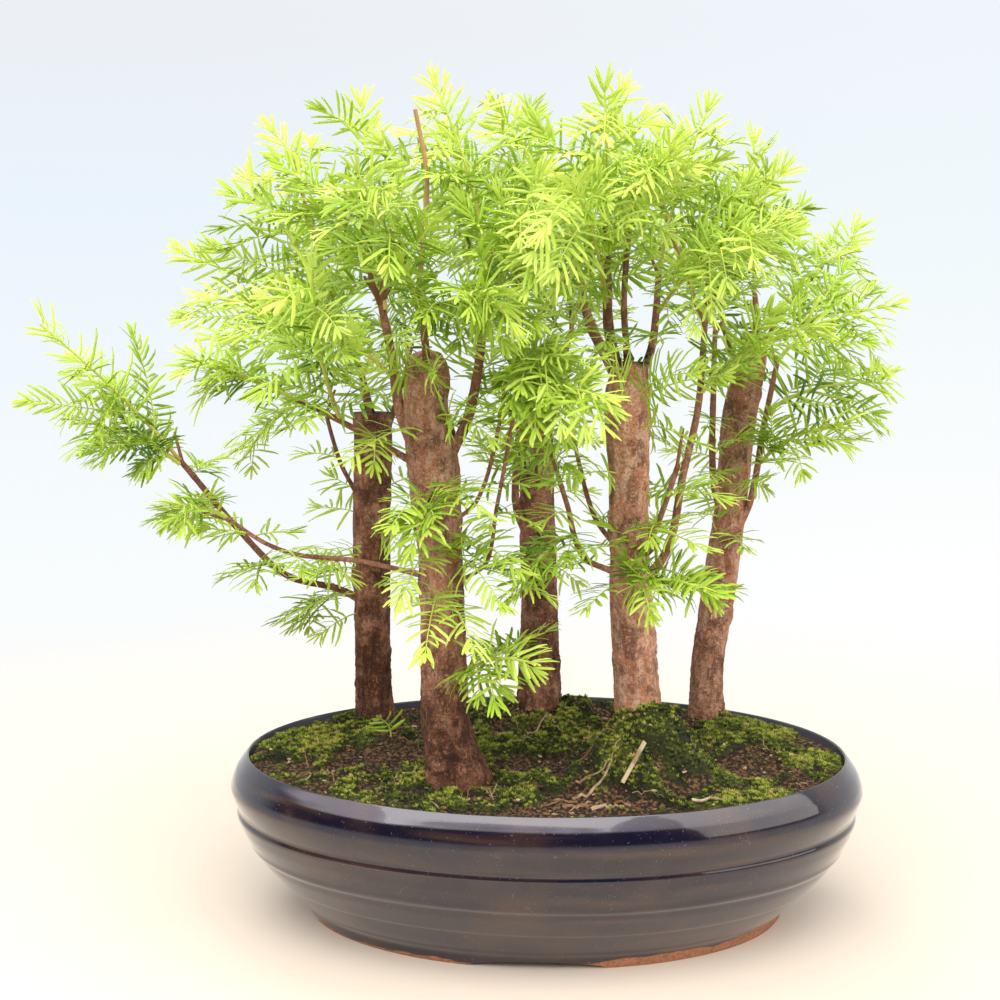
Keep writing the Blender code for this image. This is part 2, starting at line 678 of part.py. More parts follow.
def make_shoots(tree, spec, parts, joined, placed):
    """A tree's leafy shoots, each bent until it is clear of all that is there."""
    bark = placed["tree_" + tree]
    shoots = []
    for number, (branch, along, tip) in enumerate(spec["shoots"], 1):
        name = f"shoot_{tree}_{number:02d}"
        draw = random.Random(f"{SHOOT_SEED} {name}")
        foot, grain = stem_point(spec, branch, along)
        target = Vector(in_metres(tip))
        for attempt in range(ATTEMPTS):
            stray = Vector([draw.uniform(-1, 1) for _ in range(3)]) * attempt * 0.0007
            roll = math.radians(draw.uniform(-35, 35))
            aim = target + stray
            way = (aim - foot).normalized()
            leave = (way + grain * (0.9 if along > 0.99 else 0.35) + Vector((0, 0, 0.2))).normalized()
            outward = Vector((way.x, way.y - 0.4, 0)).normalized()
            shoot = make_shoot(name, foot, leave, aim, outward, roll, bark, parts, joined)
            grown = surface_tree(shoot, CLEARANCE)
            if not any(grown.overlap(other) for other in placed.values()):
                break
            bpy.data.objects.remove(shoot, do_unlink=True)
        placed[name] = surface_tree(shoot)
        shoots.append(shoot)
    return shoots


def make_seedling(parts, joined, placed):
    """A leafy shoot that stands by itself on the soil."""
    x, y = in_metres(SEEDLING_FOOT)
    foot = Vector((x, y, soil_height(x, y) - 0.002))
    tip = Vector(in_metres(SEEDLING_TIP))
    return make_shoot("seedling", foot, Vector((0, 0, 1)), tip, Vector((0, -1, 0)), 0.0,
                      placed["soil"], parts, joined)


def main():
    """Build the whole object."""
    clear_scene()
    parts = new_collection(OBJECT_NAME)
    cutters = new_collection("cutters")
    joined = new_collection("joined")
    glaze = new_material("glaze", GLAZE, 0.12, coat=0.8)
    earth = new_material("mossy_soil", SOIL_GREEN, 0.95)
    plastic = new_material("screen_plastic", SCREEN_BLACK, 0.5)
    bark = new_material("bark", BARK, 0.85)
    dead_wood = new_material("dead_wood", DEAD_WOOD, 0.8)
    green = new_material("needles", NEEDLE_GREEN, 0.45)

    finishes = [(make_tray(parts, cutters), glaze)]
    soil = make_soil(parts, cutters, TREES)
    finishes.append((soil, earth))
    finishes += [(screen, plastic) for screen in make_screens(parts)]
    placed = {"soil": surface_tree(soil)}
    for tree, spec in TREES.items():
        trunk = make_tree(tree, spec, parts, joined)
        placed[trunk.name] = surface_tree(trunk)
        finishes.append((trunk, bark))
    finishes.append((make_stick(parts), dead_wood))
    for tree, spec in TREES.items():
        finishes += [(shoot, green) for shoot in make_shoots(tree, spec, parts, joined, placed)]
    finishes.append((make_seedling(parts, joined, placed), green))

    place = bpy.data.objects.new("place", None)
    bpy.context.scene.collection.objects.link(place)
    place.location = TRAY_PLACE
    for obj, material in finishes:
        obj.data.materials.clear()
        obj.data.materials.append(material)
        obj.parent = place
    for spare in (cutters, joined):
        bpy.data.collections.remove(spare)


main()
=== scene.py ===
"""Dawn redwood bonsai forest: the looks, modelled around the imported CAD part.

Five cut-back trunks stand in an oval glazed tray of mossy soil and carry arched
shoots with flat sprays of soft needles. Each class below is one sub-assembly: it
holds its sizes, builds its meshes, dresses them in a finish and puts them on the
CAD body.

Metres, +Z up. Everything is modelled from the middle of the tray's foot and then
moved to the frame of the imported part.
"""

import logging
import math
import random
from collections.abc import Iterable, Sequence
from dataclasses import dataclass, field, replace
from enum import Enum

import bpy
import numpy as np
from mathutils import Matrix, Vector, noise
from mathutils.bvhtree import BVHTree


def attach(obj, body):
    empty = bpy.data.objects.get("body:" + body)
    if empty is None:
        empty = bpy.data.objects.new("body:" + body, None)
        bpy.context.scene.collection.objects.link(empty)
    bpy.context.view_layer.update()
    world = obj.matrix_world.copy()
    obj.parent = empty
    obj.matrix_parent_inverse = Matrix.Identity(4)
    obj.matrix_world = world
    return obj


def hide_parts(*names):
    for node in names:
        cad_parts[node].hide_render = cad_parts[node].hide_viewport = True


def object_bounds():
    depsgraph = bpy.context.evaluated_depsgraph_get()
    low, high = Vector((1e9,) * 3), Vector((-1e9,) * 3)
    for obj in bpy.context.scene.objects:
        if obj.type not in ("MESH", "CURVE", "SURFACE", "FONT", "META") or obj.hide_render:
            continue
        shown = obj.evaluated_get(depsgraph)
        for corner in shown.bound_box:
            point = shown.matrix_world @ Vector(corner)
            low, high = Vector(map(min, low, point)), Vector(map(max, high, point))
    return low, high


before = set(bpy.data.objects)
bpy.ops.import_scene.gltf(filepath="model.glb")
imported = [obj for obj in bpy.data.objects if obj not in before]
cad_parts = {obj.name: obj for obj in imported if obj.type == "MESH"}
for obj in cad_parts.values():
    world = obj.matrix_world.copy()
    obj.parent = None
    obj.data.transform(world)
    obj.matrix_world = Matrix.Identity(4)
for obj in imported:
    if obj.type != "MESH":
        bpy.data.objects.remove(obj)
CAD_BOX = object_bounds()

log = logging.getLogger("dawn_redwood_forest")

MM = 0.001
BODY = "root"
UP = Vector((0.0, 0.0, 1.0))

# The tray's middle, seen from the middle of the whole object's footprint
TRAY_PLACE = Vector((0.0325, -0.0045, 0.0))

Piece = bpy.types.Object
Material = bpy.types.Material
NodeTree = bpy.types.NodeTree
Socket = bpy.types.NodeSocket
Value = Socket | float | None
Colour = tuple[float, float, float]
Stops = tuple[tuple[float, Colour], ...]
Row = tuple[float, ...]
Rows = tuple[Row, ...]
Mesh = tuple[np.ndarray, np.ndarray]


class Slot(Enum):
    """Names of material slots."""
    GLAZE = "glaze"
    SOIL = "mossy_soil"
    SCREEN = "screen_plastic"
    BARK = "bark"
    DEAD_WOOD = "dead_wood"
    NEEDLES = "needles"


class TrunkTop(Enum):
    """How a cut-back trunk ends."""
    SAWN = "sawn"
    RAGGED = "ragged"
    HEALED = "healed"


@dataclass(frozen=True)
class TreeSpec:
    """What one tree has, in millimetres from the middle of the tray's foot."""
    # x, y, z and radius, from the buried foot up
    trunk: Rows
    # Radius at the root and the tip, then points
    branches: dict[str, tuple[float, float, Rows]]
    # The branch, how far along it, and the tip
    shoots: tuple[tuple[str, float, Row], ...]
    # Small sprays on the trunk: height where one leaves it, then its tip
    small_sprays: Rows
    top: TrunkTop
    # How pale the bark is at its foot and higher up; the low values of the back-left and back-centre trunks
    # are partly their bark's own dark tone, partly painted shade
    pale: tuple[float, float]
    # How far the roots bulge at the foot, as a share of the trunk's radius
    root_spread: float
    # Scars: angle (degrees), height, radius and depth, which is below 0 for a pale bulge; the bark in each
    # dent is painted in shade
    scars: Rows
    # Cut twigs that stand up in the crown: radius, tone, then points from the branch up
    cut_twigs: tuple[tuple, ...] = ()


TREES: dict[str, TreeSpec] = {
    "back_left": TreeSpec(
        trunk=((-88, 58, 59, 9.5), (-88, 58, 73, 10.2), (-89, 58, 89, 9.6), (-89, 58, 115, 9.3),
            (-89, 58, 168, 9.6), (-88, 58, 209, 9.8), (-88, 58, 233, 9.7)),
        branches={
            "low_left": (1.8, 1.4, ((-89, 58, 133), (-106, 54, 143), (-132, 46, 152), (-155, 38, 178),
                (-172, 28, 203), (-178, 26, 211))),
            "up_left": (1.3, 1.0, ((-90, 58, 181), (-105, 64, 206), (-114, 72, 233))),
            "crown_back": (2.2, 1.3, ((-89, 60, 224), (-92, 68, 238), (-97, 78, 256))),
            "crown_front": (2.0, 1.3, ((-86, 56, 222), (-92, 44, 255), (-99, 35, 274))),
            "far_back": (1.8, 1.2, ((-86, 60, 209), (-78, 78, 236), (-73, 90, 256))),
        },
        shoots=(("low_left", 1.0, (-241, 0, 283)), ("low_left", 0.94, (-227, 44, 224)),
            ("low_left", 0.86, (-226, 10, 252)), ("low_left", 0.68, (-192, 62, 173)),
            ("low_left", 0.45, (-140, 6, 152)), ("low_left", 0.15, (-133, 78, 117)),
            ("up_left", 1.0, (-168, 102, 203)), ("crown_back", 1.0, (-171, 110, 290)),
            ("crown_front", 1.0, (-146, 34, 352)), ("crown_front", 0.60, (-187, 24, 322)),
            ("far_back", 1.0, (-92, 112, 334))),
        small_sprays=((138, -127, 40, 134), (130, -113, 46, 123), (146, -64, 30, 146), (150, -122, 40, 153),
            (160, -106, 30, 166), (166, -68, 20, 174), (178, -118, 74, 182), (190, -62, 78, 200)),
        cut_twigs=(
            (1.1, 0.86, (-99, 35, 273), (-110, 35, 312), (-118, 35, 341), (-122, 35, 358)),),
        scars=((-60, 150, 3, 0.8),),
        # Dark bark: partly its own tone, partly painted shade at the back
        top=TrunkTop.SAWN, pale=(0.05, 0.20), root_spread=0.10),
    "front_left": TreeSpec(
        trunk=((-39, -44, 55, 10), (-39, -44, 70, 13.4), (-41, -44, 84, 12.2), (-44, -44, 102, 11.2),
            (-45, -44, 134, 10.2), (-46, -44, 175, 9.7), (-49, -44, 214, 11.4), (-52, -44, 240, 9.8),
            (-51, -44, 257, 9.4), (-51, -44, 264, 6.5)),
        branches={
            "long_low": (1.2, 0.9, ((-46, -44, 166), (-82, -44, 174), (-109, -36, 175), (-128, -28, 180),
                (-145, -22, 190))),
            "left_stub": (1.7, 1.0, ((-50, -44, 213), (-74, -50, 228), (-94, -58, 240), (-106, -62, 246))),
            "left_main": (2.9, 1.6, ((-52, -44, 212), (-63, -42, 238), (-67, -38, 262), (-73, -30, 288))),
            "right_main": (2.7, 1.6, ((-47, -44, 212), (-34, -48, 236), (-28, -52, 266), (-25, -52, 300))),
            "thin_right": (1.0, 0.8, ((-46, -44, 189), (-31, -54, 200), (-23, -60, 220), (-17, -66, 250))),
            "pink": (0.9, 0.8, ((-45, -44, 163), (-26, -60, 175), (-21, -66, 198), (-13, -74, 242))),
            "front": (2.0, 1.2, ((-51, -46, 255), (-51, -62, 273), (-53, -74, 286))),
        },
        shoots=(("long_low", 1.0, (-166, -54, 200)), ("left_stub", 1.0, (-150, -82, 266)),
            ("left_stub", 0.55, (-92, -104, 305)), ("left_main", 1.0, (-126, -8, 368)),
            ("left_main", 0.72, (-84, -10, 381)), ("left_main", 0.55, (-157, -26, 292)),
            ("right_main", 1.0, (-48, -50, 382)), ("right_main", 0.66, (-1, -96, 340)),
            ("thin_right", 1.0, (10, -108, 268)), ("pink", 1.0, (28, -114, 250)),
            ("front", 1.0, (-72, -126, 338)), ("front", 0.60, (-20, -128, 306)),
            ("trunk", 0.60, (-48, -100, 196)), ("trunk", 0.36, (-2, -92, 143))),
        small_sprays=((196, -61, -100, 203), (200, -26, -96, 208), (176, -58, -96, 172),
            (172, -18, -98, 171), (156, -48, -102, 152), (150, -29, -100, 154), (182, -12, -82, 181),
            (168, -2, -72, 168), (228, -80, -84, 226), (232, -22, -88, 236), (246, -72, -86, 262),
            (246, -44, -94, 262), (248, -26, -80, 276)),
        cut_twigs=(
            (1.1, 0.86, (-53, -74, 285), (-50, -74, 312), (-48.5, -74, 337), (-53, -74, 363)),
            (1.3, 0.94, (-73, -31, 286), (-70, -38, 300), (-67.5, -42, 318)),
            (1.1, 0.98, (-73, -31, 286), (-66, -36, 298), (-63, -38, 315)),
            (1.2, 1.00, (-73, -31, 286), (-76, -40, 298), (-77, -44, 314))),
        scars=((-76, 87, 4.5, 1.8), (-96, 153, 2.6, 0.9), (-40, 238, 4, 1.0), (-117, 85, 4.5, -1.0),
            (-28, 80, 6, -1.7), (-146, 78, 5, -1.2), (-98, 99, 3.5, 0.8), (-60, 103, 3, 0.7)),
        top=TrunkTop.HEALED, pale=(-0.12, 0.66), root_spread=0.20),
    "back_centre": TreeSpec(
        trunk=((-2, 62, 68, 9.5), (-3, 62, 82, 11), (-3, 62, 105, 10.7), (-3, 62, 136, 9.4),
            (-4, 62, 178, 9.0), (-5, 62, 219, 8.7), (-6, 62, 254, 8.6)),
        branches={
            "left_tall": (2.2, 1.3, ((-4, 62, 159), (-15, 54, 187), (-13, 50, 230), (-13, 48, 279),
                (-14, 47, 302))),
            "right": (1.9, 1.3, ((-5, 62, 222), (7, 72, 254), (13, 77, 275))),
            "back": (1.8, 1.3, ((-6, 62, 245), (-11, 78, 264), (-16, 92, 283))),
        },
        shoots=(("left_tall", 1.0, (-8, 30, 387)), ("left_tall", 0.70, (-54, 76, 378)),
            ("right", 1.0, (40, 100, 376)), ("back", 1.0, (-52, 112, 354)), ("back", 0.50, (24, 114, 318)),
            ("trunk", 0.20, (-33, 30, 122))),
        small_sprays=((160, -18, 30, 161), (152, 15, 34, 154), (206, -26, 20, 222), (200, 14, 26, 208),
            (188, 22, 84, 190), (214, -28, 90, 216)),
        scars=((-90, 140, 3, 0.8),),
        # Dark bark: partly its own tone, partly painted shade at the back
        top=TrunkTop.SAWN, pale=(0.14, 0.32), root_spread=0.12),
    "front_right": TreeSpec(
        trunk=((45, -26, 76, 9.3), (43, -26, 98, 10.8), (41, -26, 121, 10.3), (39, -26, 149, 9.8),
            (38, -26, 172, 8.9), (37, -26, 208, 9.1), (36, -26, 244, 9.9), (38, -26, 260, 7.5)),
        branches={
            "left_low": (1.5, 1.0, ((38, -26, 165), (17, -38, 175), (10, -44, 197), (4, -50, 217))),
            "left_mid": (1.3, 0.9, ((38, -26, 171), (23, -18, 189), (16, -14, 211), (12, -10, 229))),
            "cut_right": (1.4, 1.2, ((38, -26, 168), (48, -38, 187), (57, -46, 217))),
            "right_main": (2.1, 1.2, ((39, -26, 156), (55, -24, 177), (62, -18, 210), (69, -12, 241),
                (72, -6, 279), (73, -4, 294))),
            "top_front": (3.1, 1.6, ((34, -26, 249), (27, -36, 276), (26, -46, 309))),
            "top_back": (3.0, 1.6, ((35, -25, 250), (20, -8, 277), (14, 4, 307))),
            "top_right": (2.3, 1.4, ((38, -26, 246), (47, -22, 268), (50, -16, 301))),
            "orange": (1.7, 1.1, ((37, -27, 252), (33, -46, 285), (34, -62, 316))),
        },
        shoots=(("left_low", 0.50, (-14, -72, 163)), ("left_low", 1.0, (-12, -60, 274)),
            ("trunk", 0.42, (66, -88, 172)), ("right_main", 1.0, (108, -8, 350)),
            ("right_main", 0.62, (116, -52, 280)), ("top_front", 1.0, (23, -66, 378)),
            ("top_front", 0.60, (4, -124, 326)), ("top_back", 1.0, (-25, 8, 380)),
            ("top_right", 1.0, (72, -14, 377)), ("top_right", 0.70, (92, -82, 318)),
            ("orange", 1.0, (56, -122, 334))),
        small_sprays=((172, 15, -60, 183), (178, 66, -70, 188), (156, 18, -66, 162), (160, 69, -78, 172),
            (158, 43, -88, 165), (196, 75, -60, 207), (206, 8, -58, 214), (226, 62, -66, 232),
            (236, 60, -74, 262), (238, 74, -52, 258), (238, 26, -72, 264)),
        cut_twigs=(
            (1.1, 0.80, (72, -6, 278), (66, -16, 288), (63.5, -22, 295), (54, -26, 318), (49, -28, 336)),
            (1.8, 1.00, (26, -46, 308), (25, -50, 316), (25, -52, 320)),
            (2.1, 0.97, (41, -29, 176), (46.5, -36, 179), (47, -37, 189.5)),
            (1.7, 0.71, (47, -37, 188), (47, -37, 189.4), (47, -37, 190.2))),
        scars=((-78, 147, 2.4, 0.9), (-120, 226, 2.8, 0.8), (-62, 160, 5, -1.4)),
        top=TrunkTop.RAGGED, pale=(0.84, 0.92), root_spread=0.05),
    "back_right": TreeSpec(
        trunk=((82, 52, 65, 8), (82, 52, 78, 8.8), (83, 52, 108, 8.4), (89, 52, 154, 8.4),
            (93, 52, 190, 8.0), (96, 52, 230, 8.4), (102, 52, 260, 7.4), (103, 52, 272, 6)),
        branches={
            "right": (2.0, 1.2, ((91, 52, 163), (102, 46, 191), (106, 38, 226), (111, 30, 260))),
            "left": (2.0, 1.2, ((92, 52, 173), (83, 44, 201), (82, 42, 245), (82, 40, 274))),
            "top": (2.2, 1.3, ((102, 52, 262), (104, 53, 278), (103, 55, 292))),
            "far_right": (1.7, 1.2, ((101, 53, 252), (110, 61, 268), (119, 70, 285))),
            "far_left": (1.6, 1.2, ((98, 53, 240), (95, 66, 258), (91, 79, 275))),
        },
        shoots=(("right", 1.0, (166, 10, 289)), ("right", 0.75, (177, 44, 250)),
            ("right", 0.50, (142, -2, 234)), ("left", 1.0, (52, 44, 374)), ("top", 1.0, (104, 76, 374)),
            ("far_right", 1.0, (164, 106, 322)), ("far_left", 1.0, (82, 112, 330))),
        small_sprays=((196, 76, 10, 207), (190, 102, 6, 206), (168, 95, 20, 174), (176, 57, 16, 185),
            (214, 128, 30, 222), (206, 66, 78, 212)),
        scars=((-80, 120, 2.4, 0.7),),
        top=TrunkTop.HEALED, pale=(0.50, 0.68), root_spread=0.08),
}


# Working in Blender

def deselect() -> None:
    """Leave object mode and deselect everything."""
    if bpy.context.object and bpy.context.object.mode != "OBJECT":
        bpy.ops.object.mode_set(mode="OBJECT")
    for obj in bpy.context.selected_objects:
        obj.select_set(False)


def make_active(obj: Piece) -> None:
    """Select one object alone."""
    deselect()
    obj.select_set(True)
    bpy.context.view_layer.objects.active = obj


def settle(obj: Piece, name: str) -> Piece:
    """Put an object's place, turn and scale into its mesh, and name both.

    Args:
        obj: The object to settle.
        name: Its name.

    Returns:
        The same object, now at the origin.
    """
    make_active(obj)
    bpy.ops.object.transform_apply(location=True, rotation=True, scale=True)
    obj.name = name
    obj.data.name = name
    return obj


def join_solid(target: Piece, other: Piece, operation: str, solver: str) -> None:
    """Join one solid to another or cut it out, for good, and remove it.

    Args:
        target: The solid that changes.
        other: The solid that goes into it.
        operation: Blender's name of how.
        solver: Blender's name of the way to work it out.
    """
    modifier = target.modifiers.new("boolean", "BOOLEAN")
    modifier.operation, modifier.solver, modifier.object = operation, solver, other
    make_active(target)
    bpy.ops.object.modifier_apply(modifier=modifier.name)
    bpy.data.objects.remove(other, do_unlink=True)


def face_outwards() -> None:
    """Turn all faces of the mesh in edit mode outwards, and leave edit mode."""
    bpy.ops.mesh.select_all(action="SELECT")
    bpy.ops.mesh.normals_make_consistent(inside=False)
    bpy.ops.object.mode_set(mode="OBJECT")


def set_in_place(obj: Piece, crease: float | None = None) -> None:
    """Move a mesh from the tray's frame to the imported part's, and smooth it.

    Args:
        obj: The object.
        crease: Edges sharper than this angle, in degrees, stay sharp; None smooths them all.
    """
    obj.data.transform(Matrix.Translation(TRAY_PLACE))
    make_active(obj)
    if crease is None:
        bpy.ops.object.shade_smooth()
    else:
        bpy.ops.object.shade_smooth_by_angle(angle=math.radians(crease))


def put_attribute(obj: Piece, name: str, values: Sequence[float]) -> None:
    """Give each point of a mesh a number that its material reads."""
    attribute = obj.data.attributes.new(name, "FLOAT", "POINT")
    attribute.data.foreach_set("value", np.asarray(values, np.float32))


def finish_piece(obj: Piece, material: Material, slot: Slot, *nodes: str) -> None:
    """Dress a piece, put it on the CAD body and hide the CAD nodes that it replaces.

    Args:
        obj: The piece, with its place in its mesh.
        material: Its finish.
        slot: A material slot; not used.
        nodes: The CAD nodes that it replaces.
    """
    obj.data.materials.clear()
    obj.data.materials.append(material)
    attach(obj, BODY)
    if nodes:
        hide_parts(*nodes)
    log.info("%s: %d faces", obj.name, len(obj.data.polygons))


def ring_stack(name: str, sides: int, rings: Sequence[Row]) -> Piece:
    """Extrude a filled circle ring by ring into a closed oval shell.

    Args:
        name: The object's name.
        sides: How many sides each ring has.
        rings: Half length along X, half width along Y and height of each ring.

    Returns:
        The shell, closed by a flat face at its first and its last ring.
    """
    deselect()
    x, y, z = rings[0]
    bpy.ops.mesh.primitive_circle_add(vertices=sides, radius=1.0, fill_type="NGON", location=(0, 0, z))
    shell = bpy.context.object
    bpy.ops.object.mode_set(mode="EDIT")
    bpy.ops.mesh.select_all(action="SELECT")
    bpy.ops.transform.resize(value=(x, y, 1.0), center_override=(0, 0, z))
    for (x, y, z), (next_x, next_y, next_z) in zip(rings, rings[1:]):
        bpy.ops.mesh.extrude_region_move(TRANSFORM_OT_translate={"value": (0, 0, next_z - z)})
        bpy.ops.transform.resize(value=(next_x / x, next_y / y, 1.0), center_override=(0, 0, next_z))
    face_outwards()
    return settle(shell, name)


def smooth_points(points: Sequence[Row], per_span: int = 0, pitch: float = 0.0) -> list[Row]:
    """Catmull-Rom samples through points of any number of values.

    Args:
        points: The points to pass through.
        per_span: Samples from one point to the next.
        pitch: The gap between samples, where per_span is 0; the first three values are the place.

    Returns:
        The samples, with the last point.
    """
    before = tuple(2 * a - b for a, b in zip(points[0], points[1]))
    after = tuple(2 * a - b for a, b in zip(points[-1], points[-2]))
    ends = [before, *points, after]
    samples = []
    for p0, p1, p2, p3 in zip(ends, ends[1:], ends[2:], ends[3:]):
        steps = per_span or max(2, round(math.dist(p1[:3], p2[:3]) / pitch))
        for step in range(steps):
            t = step / steps
            samples.append(tuple(
                0.5 * (2 * b + (c - a) * t + (2 * a - 5 * b + 4 * c - d) * t ** 2
                       + (3 * b - a - 3 * c + d) * t ** 3)
                for a, b, c, d in zip(p0, p1, p2, p3)))
    samples.append(tuple(points[-1]))
    return samples


def in_metres(values: Iterable[float]) -> Row:
    """Millimetres as metres."""
    return tuple(value * MM for value in values)


def clamped(value: float) -> float:
    """A value kept between 0 and 1."""
    return max(0.0, min(1.0, value))


def tube(name: str, samples: Sequence[Row], bevel_resolution: int) -> Piece:
    """A closed tube along samples of x, y, z and radius.

    Args:
        name: The object's name.
        samples: The middle line and the radius along it.
        bevel_resolution: Blender's bevel resolution; the tube has twice as many sides, and four.

    Returns:
        The tube as a mesh with closed ends.
    """
    curve = bpy.data.curves.new(name, "CURVE")
    curve.dimensions = "3D"
    curve.bevel_depth = 1.0
    curve.bevel_resolution = bevel_resolution
    curve.use_fill_caps = True
    spline = curve.splines.new("POLY")
    spline.points.add(len(samples) - 1)
    for point, (x, y, z, radius) in zip(spline.points, samples):
        point.co = (x, y, z, 1.0)
        point.radius = radius
    obj = bpy.data.objects.new(name, curve)
    bpy.context.scene.collection.objects.link(obj)
    make_active(obj)
    bpy.ops.object.convert(target="MESH")
    obj = bpy.context.object
    bpy.ops.object.mode_set(mode="EDIT")
    bpy.ops.mesh.select_all(action="SELECT")
    bpy.ops.mesh.remove_doubles(threshold=0.00001)
    face_outwards()
    return obj


class MeshHeap:
    """Collects small closed meshes that become one piece."""

    def __init__(self) -> None:
        """Start empty."""
        self.points: list[np.ndarray] = []
        self.faces: list[np.ndarray] = []
        self.tones: list[np.ndarray] = []
        self.count = 0

    def add(self, points: np.ndarray, faces: np.ndarray, tones: np.ndarray | float) -> None:
        """Add one mesh.

        Args:
            points: One row a point.
            faces: One row of point numbers a triangle.
            tones: A number for each point, or one for all.
        """
        self.points.append(points)
        self.faces.append(faces + self.count)
        self.tones.append(np.broadcast_to(np.asarray(tones, float), (len(points),)))
        self.count += len(points)

    def add_strand(self, middle: Sequence[Vector], radii: Sequence[float], sides: int,
                   tones: Sequence[float] | float) -> None:
        """Add one thin closed strand.

        Args:
            middle: Its middle line.
            radii: Its radius at each point.
            sides: How many sides it has.
            tones: A number for each point of the line, or one for all.
        """
        corners, triangles = [], []
        side = Vector((0.3, 0.9, 0.2))
        last = len(middle) - 1
        for place, (point, radius) in enumerate(zip(middle, radii)):
            heading = (middle[min(place + 1, last)] - middle[max(place - 1, 0)]).normalized()
            side = (side - heading * side.dot(heading)).normalized()
            across = heading.cross(side)
            for turn in range(sides):
                angle = 2 * math.pi * turn / sides
                corners.append(point + (side * math.cos(angle) + across * math.sin(angle)) * radius)
        for ring in range(last):
            for turn in range(sides):
                a, b = ring * sides + turn, ring * sides + (turn + 1) % sides
                triangles += [(a, b, b + sides), (a, b + sides, a + sides)]
        end = last * sides
        for turn in range(1, sides - 1):
            triangles += [(0, turn + 1, turn), (end, end + turn, end + turn + 1)]
        tones = tones if isinstance(tones, float) else np.repeat(tones, sides)
        self.add(np.array(corners), np.array(triangles), tones)

    def to_object(self, name: str) -> Piece:
        """The collected meshes as one object with the attribute tone.

        Args:
            name: The object's name.

        Returns:
            The object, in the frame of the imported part.
        """
        mesh = bpy.data.meshes.new(name)
        points = np.concatenate(self.points) + np.array(TRAY_PLACE)
        mesh.from_pydata(points.tolist(), [], np.concatenate(self.faces).tolist())
        mesh.update()
        obj = bpy.data.objects.new(name, mesh)
        bpy.context.scene.collection.objects.link(obj)
        put_attribute(obj, "tone", np.concatenate(self.tones))
        return obj


def template_of(obj: Piece) -> Mesh:
    """Points and triangles of a model that is copied, which is removed.

    Args:
        obj: The model.

    Returns:
        Its points and its triangles.
    """
    mesh = obj.data
    mesh.calc_loop_triangles()
    points = np.array([vertex.co for vertex in mesh.vertices])
    triangles = np.array([tri.vertices for tri in mesh.loop_triangles])
    bpy.data.objects.remove(obj, do_unlink=True)
    return points, triangles


# Finishes

